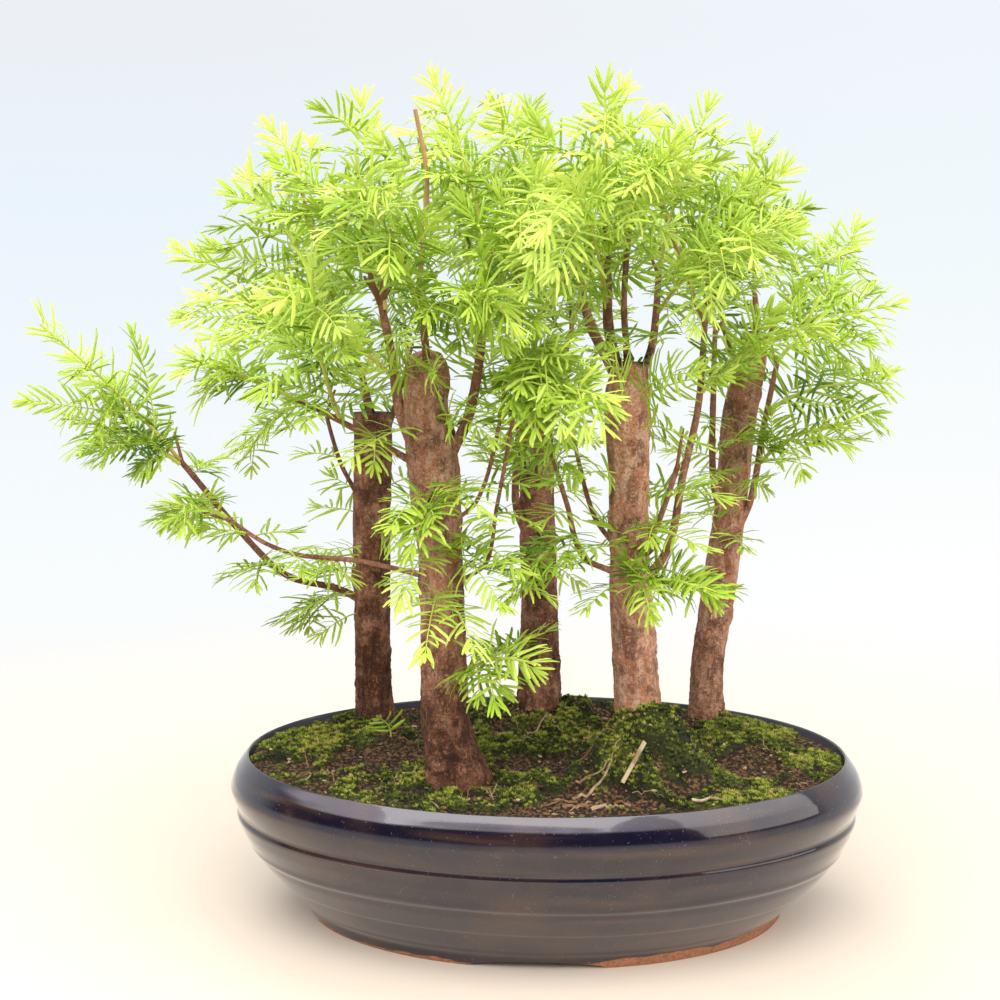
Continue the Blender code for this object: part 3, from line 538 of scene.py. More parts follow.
class Graph:
    """Fills a node tree, one node a call."""

    def __init__(self, tree: NodeTree) -> None:
        """Take the tree to fill."""
        self.tree = tree

    def add(self, kind: str, inputs: dict | None = None, **settings: object) -> bpy.types.Node:
        """Add a node.

        Args:
            kind: Blender's name of the node's type.
            inputs: Values or sockets for its inputs, by name or number.
            settings: Its settings.

        Returns:
            The node.
        """
        node = self.tree.nodes.new(kind)
        for key, value in settings.items():
            setattr(node, key, value)
        for key, value in (inputs or {}).items():
            socket = node.inputs[key]
            if isinstance(value, Socket):
                self.tree.links.new(value, socket)
            else:
                socket.default_value = value
        return node

    def math(self, operation: str, a: Value, b: Value = 0.0) -> Socket:
        """The result of a Math node."""
        return self.add("ShaderNodeMath", {0: a, 1: b}, operation=operation).outputs[0]

    def plus(self, a: Value, b: Value) -> Socket:
        """The sum of two values."""
        return self.math("ADD", a, b)

    def times(self, a: Value, b: Value) -> Socket:
        """The product of two values."""
        return self.math("MULTIPLY", a, b)

    def larger(self, a: Value, b: Value) -> Socket:
        """The larger of two values."""
        return self.math("MAXIMUM", a, b)

    def varied(self, value: Value, cloud: Value, amount: float) -> Socket:
        """A value raised or lowered where a cloud lies over or under 0.5."""
        return self.plus(value, self.times(self.math("SUBTRACT", cloud, 0.5), amount))

    def veins(self, cloud: Value, outer: float, inner: float) -> Socket:
        """Thin lines where a cloud crosses 0.5: 0 past outer from it, 1 within inner."""
        return self.span(self.math("ABSOLUTE", self.math("SUBTRACT", cloud, 0.5)), outer, inner)

    def mix(self, factor: Value, a: object, b: object) -> Socket:
        """Two colours mixed by a factor."""
        a, b = (value if isinstance(value, Socket) else (*value, 1.0) for value in (a, b))
        return self.add("ShaderNodeMix", {0: factor, 6: a, 7: b}, data_type="RGBA").outputs[2]

    def ramp(self, factor: Value, stops: Stops) -> Socket:
        """A colour that changes with a factor, by its places from 0 to 1 and their colours.

        Args:
            factor: What picks the colour.
            stops: Place and colour of each stop.

        Returns:
            The colour.
        """
        node = self.add("ShaderNodeValToRGB", {0: factor})
        elements = node.color_ramp.elements
        while len(elements) < len(stops):
            elements.new(0.5)
        for element, (place, colour) in zip(elements, stops):
            element.position = place
            element.color = (*colour, 1.0)
        return node.outputs[0]

    def span(self, value: Value, low: Value, high: Value, to_low: float = 0.0,
             to_high: float = 1.0) -> Socket:
        """A value carried smoothly from one range to another."""
        inputs = {"Value": value, "From Min": low, "From Max": high, "To Min": to_low, "To Max": to_high}
        return self.add("ShaderNodeMapRange", inputs, interpolation_type="SMOOTHSTEP").outputs[0]

    def noise(self, inputs: dict[str, object]) -> Socket:
        """A soft cloud round 0.5."""
        return self.add("ShaderNodeTexNoise", inputs).outputs[0]

    def attribute(self, name: str) -> Socket:
        """A number that each point of the mesh carries."""
        return self.add("ShaderNodeAttribute", attribute_name=name).outputs["Fac"]

    def mapped(self, vector: Value, scale: Sequence[float],
               turn: Sequence[float] = (0.0, 0.0, 0.0)) -> Socket:
        """Coordinates that are stretched and turned."""
        inputs = {"Vector": vector, "Rotation": turn, "Scale": scale}
        return self.add("ShaderNodeMapping", inputs).outputs[0]

    def patches(self, vector: Value, scale: float, detail: float, low: float,
                high: float) -> Socket:
        """Soft-edged patches from 0 to 1, by the group that the finishes share."""
        inputs = {"Vector": vector, "Scale": scale, "Detail": detail, "Low": low, "High": high}
        return self.add("ShaderNodeGroup", inputs, node_tree=PATCHES).outputs[0]

    def grain(self, vector: Value, scale: float, detail: float, stretch: float = 1.0) -> Socket:
        """Fine grain stretched along Z, by the group that the finishes share."""
        inputs = {"Vector": vector, "Scale": scale, "Stretch": stretch, "Detail": detail}
        return self.add("ShaderNodeGroup", inputs, node_tree=GRAIN).outputs[0]


def new_group(name: str, output: str, defaults: dict[str, float]) -> tuple[NodeTree, Graph]:
    """An empty shader node group that takes a vector and some values, and puts out one.

    Args:
        name: The group's name.
        output: Name of the output.
        defaults: Default value of each input but the vector.

    Returns:
        The group and the graph that fills it.
    """
    tree = bpy.data.node_groups.new(name, "ShaderNodeTree")
    tree.interface.new_socket("Vector", in_out="INPUT", socket_type="NodeSocketVector")
    for label, value in defaults.items():
        socket = tree.interface.new_socket(label, in_out="INPUT", socket_type="NodeSocketFloat")
        socket.default_value = value
    tree.interface.new_socket(output, in_out="OUTPUT", socket_type="NodeSocketFloat")
    return tree, Graph(tree)


def patches_group() -> NodeTree:
    """A group that puts out soft-edged patches, from 0 to 1.

    Returns:
        The group.
    """
    tree, graph = new_group("patches", "Mask", {"Scale": 100.0, "Detail": 4.0, "Low": 0.45, "High": 0.55})
    source = graph.add("NodeGroupInput").outputs
    cloud = graph.noise({key: source[key] for key in ("Vector", "Scale", "Detail")})
    graph.add("NodeGroupOutput", {0: graph.span(cloud, source["Low"], source["High"])})
    return tree


def grain_group() -> NodeTree:
    """A group that puts out fine grain to press into a surface, stretched along Z.

    Returns:
        The group.
    """
    tree, graph = new_group("grain", "Height", {"Scale": 400.0, "Stretch": 1.0, "Detail": 6.0})
    source = graph.add("NodeGroupInput").outputs
    parts = graph.add("ShaderNodeSeparateXYZ", {0: source["Vector"]}).outputs
    squeezed = graph.math("DIVIDE", parts["Z"], source["Stretch"])
    vector = graph.add("ShaderNodeCombineXYZ", {"X": parts["X"], "Y": parts["Y"], "Z": squeezed})
    cloud = graph.noise({"Vector": vector.outputs[0], "Scale": source["Scale"],
                         "Detail": source["Detail"], "Roughness": 0.6})
    graph.add("NodeGroupOutput", {0: cloud})
    return tree


PATCHES = patches_group()
GRAIN = grain_group()


class Paint(Graph):
    """A Principled material while its finish is laid on."""

    def __init__(self, name: str, fixed: dict[str, object]) -> None:
        """Start a material that isn't metal.

        Args:
            name: The material's name.
            fixed: Values that are the same all over, by the shader's socket names.
        """
        self.material = bpy.data.materials.new(name)
        self.material.use_nodes = True
        super().__init__(self.material.node_tree)
        self.shader = self.tree.nodes["Principled BSDF"]
        for key, value in {"Metallic": 0.0, **fixed}.items():
            self.shader.inputs[key].default_value = value
        self.place = self.add("ShaderNodeTexCoord").outputs["Object"]

    def drive(self, relief: Value = None, depth: float = 0.0, **sockets: Value) -> Material:
        """Link values to the shader's inputs.

        Args:
            relief: The height that a Bump node presses into the surface.
            depth: How deep it presses it, in metres.
            sockets: What drives each input, by its name with underscores.

        Returns:
            The material.
        """
        if relief is not None:
            bump = self.add("ShaderNodeBump", {"Height": relief, "Distance": depth, "Strength": 1.0})
            self.tree.links.new(bump.outputs[0], self.shader.inputs["Normal"])
        for key, value in sockets.items():
            self.tree.links.new(value, self.shader.inputs[key.replace("_", " ").title()])
        return self.material


@dataclass(frozen=True)
class GlazeFinish:
    """Near-black blue glaze that breaks brown where it is thin, over a bare clay foot; its inward-facing wall
    is paler, partly a bloom on the glaze and partly painted sheen of the light from above.
    """
    deep: Colour = (0.006, 0.005, 0.014)
    thin: Colour = (0.050, 0.026, 0.018)
    clay: Colour = (0.36, 0.16, 0.080)
    # Pale blue-grey of the inner wall: partly a bloom on the glaze, partly painted sheen
    bloom_and_sheen: Colour = (0.100, 0.110, 0.145)
    dust: Colour = (0.45, 0.43, 0.42)
    bare_below: float = 0.0045
    # How far the glaze's lower edge wanders, and how much lower it runs on the left
    edge_wander: float = 0.010
    edge_drop: float = 0.0038
    roughness: float = 0.13
    relief: float = 0.0006

    def build(self) -> Material:
        """Mix the colours and lay the finish on a material.

        Returns:
            The material.
        """
        paint = Paint("glaze", {"Coat Roughness": 0.05, "IOR": 1.36, "Coat IOR": 1.48})
        place = paint.place
        across, _, height = paint.add("ShaderNodeSeparateXYZ", {0: place}).outputs
        broken = paint.patches(place, 28.0, 6.0, 0.42, 0.72)
        streaks = paint.mapped(place, (14.0, 14.0, 190.0))
        streak = paint.patches(streaks, 1.0, 4.0, 0.45, 0.75)
        colour = paint.mix(paint.times(paint.larger(broken, streak), 0.8), self.deep, self.thin)
        dust = paint.patches(place, 1100.0, 2.0, 0.69, 0.73)
        hairs = paint.grain(paint.mapped(place, (30, 600, 30), (0.6, 0.9, 0.4)), scale=1.0, detail=2.0)
        scratch = paint.veins(hairs, 0.006, 0.001)
        scratch = paint.times(scratch, paint.patches(place, 60.0, 2.0, 0.60, 0.66))
        dust = paint.larger(dust, paint.times(scratch, 0.35))
        colour = paint.mix(paint.times(dust, 0.20), colour, self.dust)
        facing = paint.add("ShaderNodeTexCoord").outputs["Normal"]
        inside = paint.add("ShaderNodeVectorMath", {0: place, 1: facing}, operation="DOT_PRODUCT").outputs[1]
        # Painted sheen: the wall that faces inwards turns pale blue-grey, partly a bloom on the glaze and
        # partly light from above painted on
        colour = paint.mix(paint.span(inside, -0.015, -0.055, 0.0, 0.8), colour, self.bloom_and_sheen)
        edge = paint.grain(place, 24.0, 3.0)
        line = paint.varied(height, edge, self.edge_wander)
        line = paint.plus(line, paint.span(across, 0.09, 0.02, 0.0, self.edge_drop))
        glazed = paint.span(line, self.bare_below, self.bare_below + 0.0007)
        speckle = paint.patches(place, 700.0, 3.0, 0.35, 0.70)
        clay = paint.mix(speckle, self.clay, tuple(0.6 * value for value in self.clay))
        colour = paint.mix(glazed, clay, colour)
        rough = paint.plus(paint.times(dust, 0.3), self.roughness)
        rough = paint.larger(rough, paint.math("SUBTRACT", 0.85, paint.times(glazed, 0.85)))
        wave = paint.grain(place, 26.0, 2.0, stretch=0.7)
        fine = paint.grain(place, 160.0, 3.0, stretch=0.6)
        relief = paint.plus(wave, paint.times(fine, 0.05))
        return paint.drive(relief, self.relief, base_color=colour, roughness=rough, coat_weight=glazed)


@dataclass(frozen=True)
class SoilFinish:
    """Dark crumbly soil with moss over it, by the attribute tone, and painted shade low between the moss
    cushions, by the attribute lump.
    """
    wet: Colour = (0.020, 0.011, 0.005)
    crumb: Colour = (0.180, 0.092, 0.042)
    moss: Colour = (0.022, 0.026, 0.005)
    young_moss: Colour = (0.150, 0.165, 0.022)
    # Painted shade in the gaps between the moss cushions
    crevice_shade: Colour = (0.010, 0.008, 0.003)
    relief: float = 0.0022

    def build(self) -> Material:
        """Mix the colours and lay the finish on a material.

        Returns:
            The material.
        """
        paint = Paint("mossy_soil", {"Specular IOR Level": 0.3})
        place = paint.place
        moss, lump = paint.attribute("tone"), paint.attribute("lump")
        crumbs = paint.patches(place, 560.0, 8.0, 0.46, 0.64)
        soil = paint.mix(crumbs, self.wet, self.crumb)
        tips = paint.patches(place, 520.0, 4.0, 0.40, 0.62)
        broad = paint.patches(place, 60.0, 4.0, 0.40, 0.65)
        green = paint.mix(paint.times(tips, broad), self.moss, self.young_moss)
        # Painted shade: the moss turns nearly black where it lies low between the cushions
        green = paint.mix(paint.span(lump, 0.15, 0.70), self.crevice_shade, green)
        colour = paint.mix(paint.span(moss, 0.25, 0.6), soil, green)
        fine = paint.grain(place, 650.0, 8.0)
        rough = paint.span(crumbs, 0, 1, 0.95, 0.7)
        return paint.drive(fine, self.relief, base_color=colour, roughness=rough)


@dataclass(frozen=True)
class MossFinish:
    """Moss tufts from olive to tan, by the attribute tone."""
    stops: Stops = (
        (0.0, (0.012, 0.014, 0.004)), (0.30, (0.050, 0.065, 0.010)), (0.56, (0.160, 0.210, 0.022)),
        (0.80, (0.350, 0.390, 0.045)), (1.0, (0.480, 0.340, 0.110)))

    def build(self) -> Material:
        """Mix the colours and lay the finish on a material.

        Returns:
            The material.
        """
        paint = Paint("moss_tufts", {"Specular IOR Level": 0.25})
        tone = paint.attribute("tone")
        speck = paint.grain(paint.place, 900.0, 3.0)
        colour = paint.ramp(paint.varied(tone, speck, 0.35), self.stops)
        return paint.drive(base_color=colour, roughness=paint.span(speck, 0.3, 0.7, 0.65, 0.9))


@dataclass(frozen=True)
class BarkFinish:
    """Grainy red-brown bark with grey skin, cracks, pale flecks and painted shade in scar dents, by the
    attributes pale, limb and cut.
    """
    deep: Colour = (0.130, 0.036, 0.014)
    warm: Colour = (0.620, 0.250, 0.130)
    dusk: Colour = (0.320, 0.135, 0.064)
    skin: Colour = (0.790, 0.490, 0.330)
    # Dark of the bark's cracks and pits, and the painted shade in the scar dents
    furrow_and_shade: Colour = (0.045, 0.018, 0.011)
    twig: Colour = (0.230, 0.090, 0.050)
    fleck: Colour = (0.720, 0.600, 0.490)
    cut: Colour = (0.260, 0.160, 0.095)
    relief: float = 0.0026

    def build(self) -> Material:
        """Mix the colours and lay the finish on a material.

        Returns:
            The material.
        """
        paint = Paint("bark", {"Specular IOR Level": 0.35})
        place = paint.place
        limb, top, pale = (paint.attribute(name) for name in ("limb", "cut", "pale"))
        broad = paint.patches(place, 95.0, 6.0, 0.32, 0.70)
        pale = paint.varied(pale, broad, 0.40)
        mottle = paint.patches(place, 620.0, 9.0, 0.36, 0.66)
        tall = paint.mapped(place, (1.0, 1.0, 0.30))
        patch = paint.patches(tall, 330.0, 7.0, 0.36, 0.66)
        grey = paint.span(paint.plus(mottle, patch), 0.25, 1.75)
        colour = paint.mix(pale, paint.mix(grey, self.deep, self.dusk), paint.mix(grey, self.warm, self.skin))
        level = paint.mapped(place, (1.0, 1.0, 2.6))
        line = 0.0
        for way, scale, width in ((level, 150.0, 0.040), (tall, 260.0, 0.055)):
            line = paint.larger(line, paint.veins(paint.grain(way, scale, detail=7.0), width, 0.2 * width))
        cracked = paint.patches(place, 110.0, 3.0, 0.50, 0.62)
        line = paint.times(line, paint.larger(paint.times(cracked, 0.7), paint.span(pale, 0.35, -0.10)))
        grain = paint.grain(place, 1300.0, 6.0, stretch=1.3)
        pit = paint.larger(paint.span(grain, 0.45, 0.32), line)
        colour = paint.mix(paint.times(pit, 0.80), colour, self.furrow_and_shade)
        fleck = paint.patches(place, 1500.0, 4.0, 0.60, 0.68)
        crowd = paint.patches(place, 180.0, 4.0, 0.40, 0.66)
        shown = paint.times(paint.times(fleck, crowd), paint.span(pale, -0.9, 0.9))
        colour = paint.mix(shown, colour, self.fleck)
        # Painted shade: where the tone falls far below 0, mostly in the scar dents, the bark turns almost to
        # its darkest colour
        colour = paint.mix(paint.span(pale, -0.30, -0.65, 0.0, 0.8), colour, self.furrow_and_shade)
        colour = paint.mix(paint.times(limb, 0.72), colour, paint.mix(mottle, self.twig, self.dusk))
        rings = paint.patches(place, 320.0, 5.0, 0.40, 0.60)
        colour = paint.mix(top, colour, paint.mix(rings, self.cut, self.furrow_and_shade))
        scales = paint.grain(place, 330.0, 7.0, stretch=1.4)
        relief = paint.plus(paint.times(grain, 0.6), scales)
        relief = paint.math("SUBTRACT", relief, paint.times(line, 0.3))
        rough = paint.span(mottle, 0, 1, 0.68, 0.88)
        return paint.drive(relief, self.relief, base_color=colour, roughness=rough)


@dataclass(frozen=True)
class NeedleFinish:
    """Soft green needles from deep to fresh yellow-green; tones past 0.5 are green to red-brown stems."""
    stops: Stops = (
        (0.0, (0.045, 0.120, 0.008)), (0.22, (0.300, 0.460, 0.030)), (0.45, (0.530, 0.650, 0.115)),
        (0.50, (0.480, 0.600, 0.085)), (0.72, (0.500, 0.310, 0.100)), (1.0, (0.190, 0.075, 0.042)))

    def build(self) -> Material:
        """Mix the colours and lay the finish on a material.

        Returns:
            The material.
        """
        paint = Paint("needles", {"Specular IOR Level": 0.28, "Subsurface Weight": 0.2,
                                  "Subsurface Radius": (0.6, 1.0, 0.15), "Subsurface Scale": 0.0015})
        tone = paint.attribute("tone")
        mottle = paint.patches(paint.place, 260.0, 3.0, 0.3, 0.7)
        colour = paint.ramp(paint.varied(tone, mottle, 0.03), self.stops)
        return paint.drive(base_color=colour, roughness=paint.span(mottle, 0, 1, 0.42, 0.55))


@dataclass(frozen=True)
class WoodFinish:
    """Pale dry wood with darker streaks along it, and brown where the attribute tone is high."""
    pale: Colour = (0.560, 0.420, 0.270)
    streak: Colour = (0.240, 0.140, 0.075)
    brown: Colour = (0.190, 0.085, 0.038)
    relief: float = 0.0006

    def build(self) -> Material:
        """Mix the colours and lay the finish on a material.

        Returns:
            The material.
        """
        paint = Paint("dead_wood", {"Specular IOR Level": 0.3})
        tone = paint.attribute("tone")
        grain = paint.grain(paint.place, 900.0, 5.0, stretch=0.5)
        worn = paint.patches(paint.place, 240.0, 5.0, 0.45, 0.62)
        colour = paint.mix(tone, paint.mix(paint.times(worn, 0.8), self.pale, self.streak), self.brown)
        rough = paint.span(grain, 0.3, 0.7, 0.7, 0.9)
        return paint.drive(grain, self.relief, base_color=colour, roughness=rough)


@dataclass(frozen=True)
class ScreenFinish:
    """Black moulded plastic with soil dust on it."""
    black: Colour = (0.018, 0.018, 0.020)
    dust: Colour = (0.100, 0.070, 0.045)
    relief: float = 0.0002

    def build(self) -> Material:
        """Mix the colours and lay the finish on a material.

        Returns:
            The material.
        """
        paint = Paint("screen_plastic", {})
        dusty = paint.patches(paint.place, 260.0, 5.0, 0.45, 0.70)
        fine = paint.grain(paint.place, 1500.0, 3.0)
        return paint.drive(fine, self.relief, base_color=paint.mix(dusty, self.black, self.dust),
                           roughness=paint.span(dusty, 0, 1, 0.4, 0.85))


# Tray

@dataclass
class Tray:
    """Oval tray, thrown with soft ridges, on a low foot with two notches."""
    finish: Material
    length: float = 0.300
    height: float = 0.0765
    across_at_foot: float = 0.642
    across_at_rim: float = 0.680
    sides: int = 160
    per_span: int = 4
    # Its profile, from the floor's underside over the foot, the ridges and the lip to
    # the floor's top: how far in from its longest half length, and how high
    foot: Rows = ((0.0465, 0.0050), (0.0462, 0.0008), (0.0455, 0.0), (0.0375, 0.0), (0.0366, 0.0012),
                  (0.0360, 0.0040))
    outside: Rows = (
        (0.0345, 0.0060), (0.0300, 0.0100), (0.0240, 0.0160), (0.0208, 0.0194), (0.0194, 0.0206),
        (0.0166, 0.0238), (0.0128, 0.0286), (0.0108, 0.0320), (0.0092, 0.0334), (0.0083, 0.0346),
        (0.0076, 0.0368), (0.0062, 0.0396), (0.0044, 0.0432), (0.0032, 0.0466), (0.0027, 0.0488),
        (0.0036, 0.0514), (0.0026, 0.0538), (0.0010, 0.0575), (0.0, 0.0610), (0.0005, 0.0640),
        (0.0014, 0.0668), (0.0028, 0.0697))
    lip: Rows = ((0.0044, 0.0720), (0.0060, 0.0741), (0.0073, 0.0756), (0.0083, 0.0765), (0.0090, 0.0758),
                 (0.0092, 0.0722))
    inside: Rows = ((0.0112, 0.0560), (0.0220, 0.0270), (0.0430, 0.0125))
    drain_x: float = 0.055
    drain_radius: float = 0.008
    notch_x: float = -0.003
    notch_half_width: float = 0.030
    notch_height: float = 0.0035
    unevenness: float = 0.0007
    # The foot below this height is left even
    even_below: float = 0.008
    # How far the ridges wander up and down, and the height round which they do
    wander: float = 0.0010
    wander_height: float = 0.034
    wander_reach: float = 0.026
    crease: float = 38.0

    def across(self, z: float) -> float:
        """How wide the tray is across, for its length, at a height."""
        return self.across_at_foot + (self.across_at_rim - self.across_at_foot) * z / self.height

    def radii(self, profile: Iterable[Row]) -> list[Row]:
        """Half length and height at each place of a profile."""
        return [(self.length / 2 - inset, z) for inset, z in profile]

    def build(self) -> None:
        """Model the tray and dress it."""
        wall = smooth_points(self.radii(self.outside + self.lip + self.inside), self.per_span)
        rings = [(r, r * self.across(z), z) for r, z in self.radii(self.foot) + wall]
        tray = ring_stack("tray_glazed", self.sides, rings)
        self.cut_openings(tray)
        for vertex in tray.data.vertices:
            self.press_by_hand(vertex)
        set_in_place(tray, self.crease)
        finish_piece(tray, self.finish, Slot.GLAZE, "tray")

    def cut_openings(self, tray: Piece) -> None:
        """Cut the drain holes and the notches in the foot.

        Args:
            tray: The tray, without them.
        """
        for x in (-self.drain_x, self.drain_x):
            deselect()
            bpy.ops.mesh.primitive_cylinder_add(vertices=40, radius=self.drain_radius, depth=0.03,
                                                location=(x, 0, 0.01))
            join_solid(tray, settle(bpy.context.object, "drain"), "DIFFERENCE", "EXACT")
        deselect()
        bpy.ops.mesh.primitive_cylinder_add(vertices=64, radius=self.notch_half_width, depth=0.3,
                                            location=(self.notch_x, 0, -0.0002), rotation=(math.pi / 2, 0, 0))
        notch = bpy.context.object
        notch.scale = (1.0, self.notch_height / self.notch_half_width, 1.0)
        join_solid(tray, settle(notch, "notch"), "DIFFERENCE", "EXACT")

    def press_by_hand(self, vertex: bpy.types.MeshVertex) -> None:
        """Move a point in by a little, more at some places, as hands and kiln leave it.

        Args:
            vertex: The point.
        """
        x, y, z = vertex.co
        reach = math.hypot(x, y)
        if z < self.even_below or reach < 1e-6:
            return
        slow = 0.5 + 0.5 * noise.noise(Vector((x * 9, y * 9, z * 30)))
        ridge = 0.5 + 0.5 * noise.noise(Vector((x * 16, y * 16, z * 120)))
        shrink = 1.0 - self.unevenness * (0.7 * slow + 0.4 * ridge) / reach
        fade = max(0.0, 1 - ((z - self.wander_height) / self.wander_reach) ** 2)
        rise = self.wander * noise.noise(Vector((x * 13, y * 13, 2.2))) * fade
        outer_wall = reach > 0.08
        vertex.co = (x * shrink, y * shrink, z + (rise if outer_wall else 0.0))


# Soil, moss and litter

def bells(x: float, y: float, places: Iterable[Row]) -> float:
    """The sum, at a place, of bells given by x, y and radius (mm) and the height of each."""
    return sum(rise * math.exp(-((x / MM - cx) ** 2 + (y / MM - cy) ** 2) / wide ** 2)
               for cx, cy, wide, rise in places)


@dataclass
class SoilBed:
    """Domed bed of soil with mounds, under cushions of moss."""
    tray: Tray
    finish: Material
    edge_height: float = 0.0722
    dome: float = 0.0030
    grain: float = 0.0014
    half_length: float = 0.1408
    wall_gap: float = 0.0005
    bottom: float = 0.0128
    steps_x: int = 230
    steps_y: int = 156
    cushion: float = 0.0046
    crumb: float = 0.0013
    rim_rise: float = 0.0022
    heap_shoulder: float = 1.4
    # Heaps: x, y, how high, how wide along x, how wide along y (mm)
    heaps: Rows = (
        (43, -32, 25, 19, 18), (60, -42, 8, 12, 12), (-3, 60, 9, 22, 14), (30, 66, 6, 16, 12),
        (82, 52, 5, 14, 14), (-41, -42, 2, 14, 10), (-66, 10, 2, 20, 20), (104, 0, 3, 12, 22))
    # Places with more moss than elsewhere, or less: x, y, radius (mm), how much more
    spots: Rows = (
        (-112, -30, 15, -0.9), (-82, -8, 10, -0.6), (-76, -56, 13, -0.9), (-4, -20, 18, -0.7),
        (10, -70, 14, -0.9), (64, -54, 10, -0.8), (92, -16, 12, -0.6), (58, -20, 6, -0.5),
        (-122, 14, 15, 0.7), (-92, 34, 13, 0.6), (-27, 10, 11, 0.7), (-45, -67, 8, 1.0),
        (42, -40, 22, 1.2), (126, -12, 11, 0.8), (86, 22, 18, 0.9), (-90, -60, 5, 1.4),
        (-14, -44, 9, 0.5), (10, 48, 20, 0.6), (-98, 56, 20, 0.5), (-132, 24, 9, 0.5),
        (24, 88, 24, 0.5), (106, 58, 18, 0.5))
    # Moss that climbs the trunks: x, y and radius (mm), and how high it climbs (m)
    banks: Rows = ((44, -27, 15, 0.005), (83, 52, 14, 0.0035), (-88, 58, 14, 0.002))

    def edge_share(self, x: float, y: float) -> float:
        """How near a place is to the soil's edge: 0 in the middle, 1 at the edge."""
        half = self.half_length
        return min(1.0, math.hypot(x / half, y / (half * self.tray.across(self.edge_height))))

    def strewn_place(self, draw: random.Random, share: float, inset: float = 0.0) -> tuple[float, float]:
        """A place drawn on the bed, within a share of its half length less an inset."""
        angle, reach = draw.uniform(0, 2 * math.pi), math.sqrt(draw.random()) * share
        half = self.half_length - inset
        x = math.cos(angle) * reach * half
        return x, math.sin(angle) * reach * half * self.tray.across(self.edge_height)

    def plain_height(self, x: float, y: float) -> float:
        """Height of the CAD soil's surface.

        Args:
            x: Place along the tray.
            y: Place across it.

        Returns:
            The height.
        """
        edge = self.edge_share(x, y)
        inward = 1.0 - edge ** 6
        height = self.dome * (1.0 - edge ** 2)
        for cx, cy, rise, wide_x, wide_y in self.heaps:
            reach = ((x / MM - cx) / wide_x) ** 2 + ((y / MM - cy) / wide_y) ** 2
            height += rise * MM * math.exp(-0.5 * reach ** self.heap_shoulder) * inward
        height += self.grain * noise.noise(Vector((x * 70, y * 70, 3.0))) * inward
        return self.edge_height + height

    def moss_share(self, x: float, y: float) -> float:
        """How mossy a place is, from bare soil at 0 to deep moss at 1."""
        broad = noise.noise(Vector((x * 26 + 4.0, y * 34, 1.7)))
        fine = noise.noise(Vector((x * 110, y * 110, 8.1)))
        return clamped(0.50 + 1.5 * broad + 1.3 * fine + bells(x, y, self.spots))

    def lump(self, x: float, y: float) -> float:
        """How high a place lies on a cushion, from the gap between cushions at 0 to its top at 1; the soil
        and the tufts are painted in shade where it is low.
        """
        warp = 0.25 * noise.noise(Vector((x * 90, y * 90, 5.5)))
        large = noise.voronoi(Vector((x * 95 + warp, y * 95 - warp, 0.4)))[0][0]
        small = noise.voronoi(Vector((x * 260, y * 260, 0.2)))[0][0]
        return clamped(1.15 - 1.25 * large ** 2 - 0.55 * small)

    def height(self, x: float, y: float) -> float:
        """Height of the dressed surface, with its cushions and crumbs.

        Args:
            x: Place along the tray.
            y: Place across it.

        Returns:
            The height.
        """
        edge = self.edge_share(x, y)
        crumb = noise.noise(Vector((x * 700, y * 700, 9.0)))
        moss = self.moss_share(x, y)
        raised = self.cushion * (moss * (0.35 + 0.95 * self.lump(x, y)) - 0.40) + self.crumb * crumb
        rim = self.rim_rise * edge ** 5 * (1.0 - edge ** 60)
        return self.plain_height(x, y) + raised * (1.0 - edge ** 10) + rim + bells(x, y, self.banks)

    def build(self) -> None:
        """Model the soil and dress it."""
        deselect()
        bpy.ops.mesh.primitive_grid_add(x_subdivisions=self.steps_x, y_subdivisions=self.steps_y, size=2.0)
        soil = bpy.context.object
        wall = [(r - self.wall_gap, z) for r, z in self.tray.radii((self.tray.lip[-1], *self.tray.inside))]
        wall[-1] = (wall[-1][0], self.bottom)
        half, across = wall[0][0], self.tray.across(self.edge_height)
        for vertex in soil.data.vertices:
            x, y, _ = vertex.co
            oval_x = x * math.sqrt(1 - y * y / 2) * half
            oval_y = y * math.sqrt(1 - x * x / 2) * half * across
            vertex.co = (oval_x, oval_y, self.height(oval_x, oval_y))
        self.close_below(wall)
        soil = settle(soil, "soil_bed")
        put_attribute(soil, "tone", [self.moss_share(*vertex.co.xy) for vertex in soil.data.vertices])
        put_attribute(soil, "lump", [self.lump(*vertex.co.xy) for vertex in soil.data.vertices])
        set_in_place(soil)
        finish_piece(soil, self.finish, Slot.SOIL, "soil")

    def close_below(self, wall: Sequence[Row]) -> None:
        """Extrude the active grid's edge down along a wall and close it below.

        Args:
            wall: Half length and height of each place down the wall.
        """
        bpy.ops.object.mode_set(mode="EDIT")
        bpy.ops.mesh.select_mode(type="EDGE")
        bpy.ops.mesh.select_all(action="DESELECT")
        bpy.ops.mesh.select_non_manifold()
        for (r, z), (next_r, next_z) in zip(wall, wall[1:]):
            bpy.ops.mesh.extrude_region_move(TRANSFORM_OT_translate={"value": (0, 0, next_z - z)})
            narrow = next_r * self.tray.across(next_z) / (r * self.tray.across(z))
            bpy.ops.transform.resize(value=(next_r / r, narrow, 1.0), center_override=(0, 0, next_z))
        bpy.ops.mesh.edge_face_add()
        face_outwards()


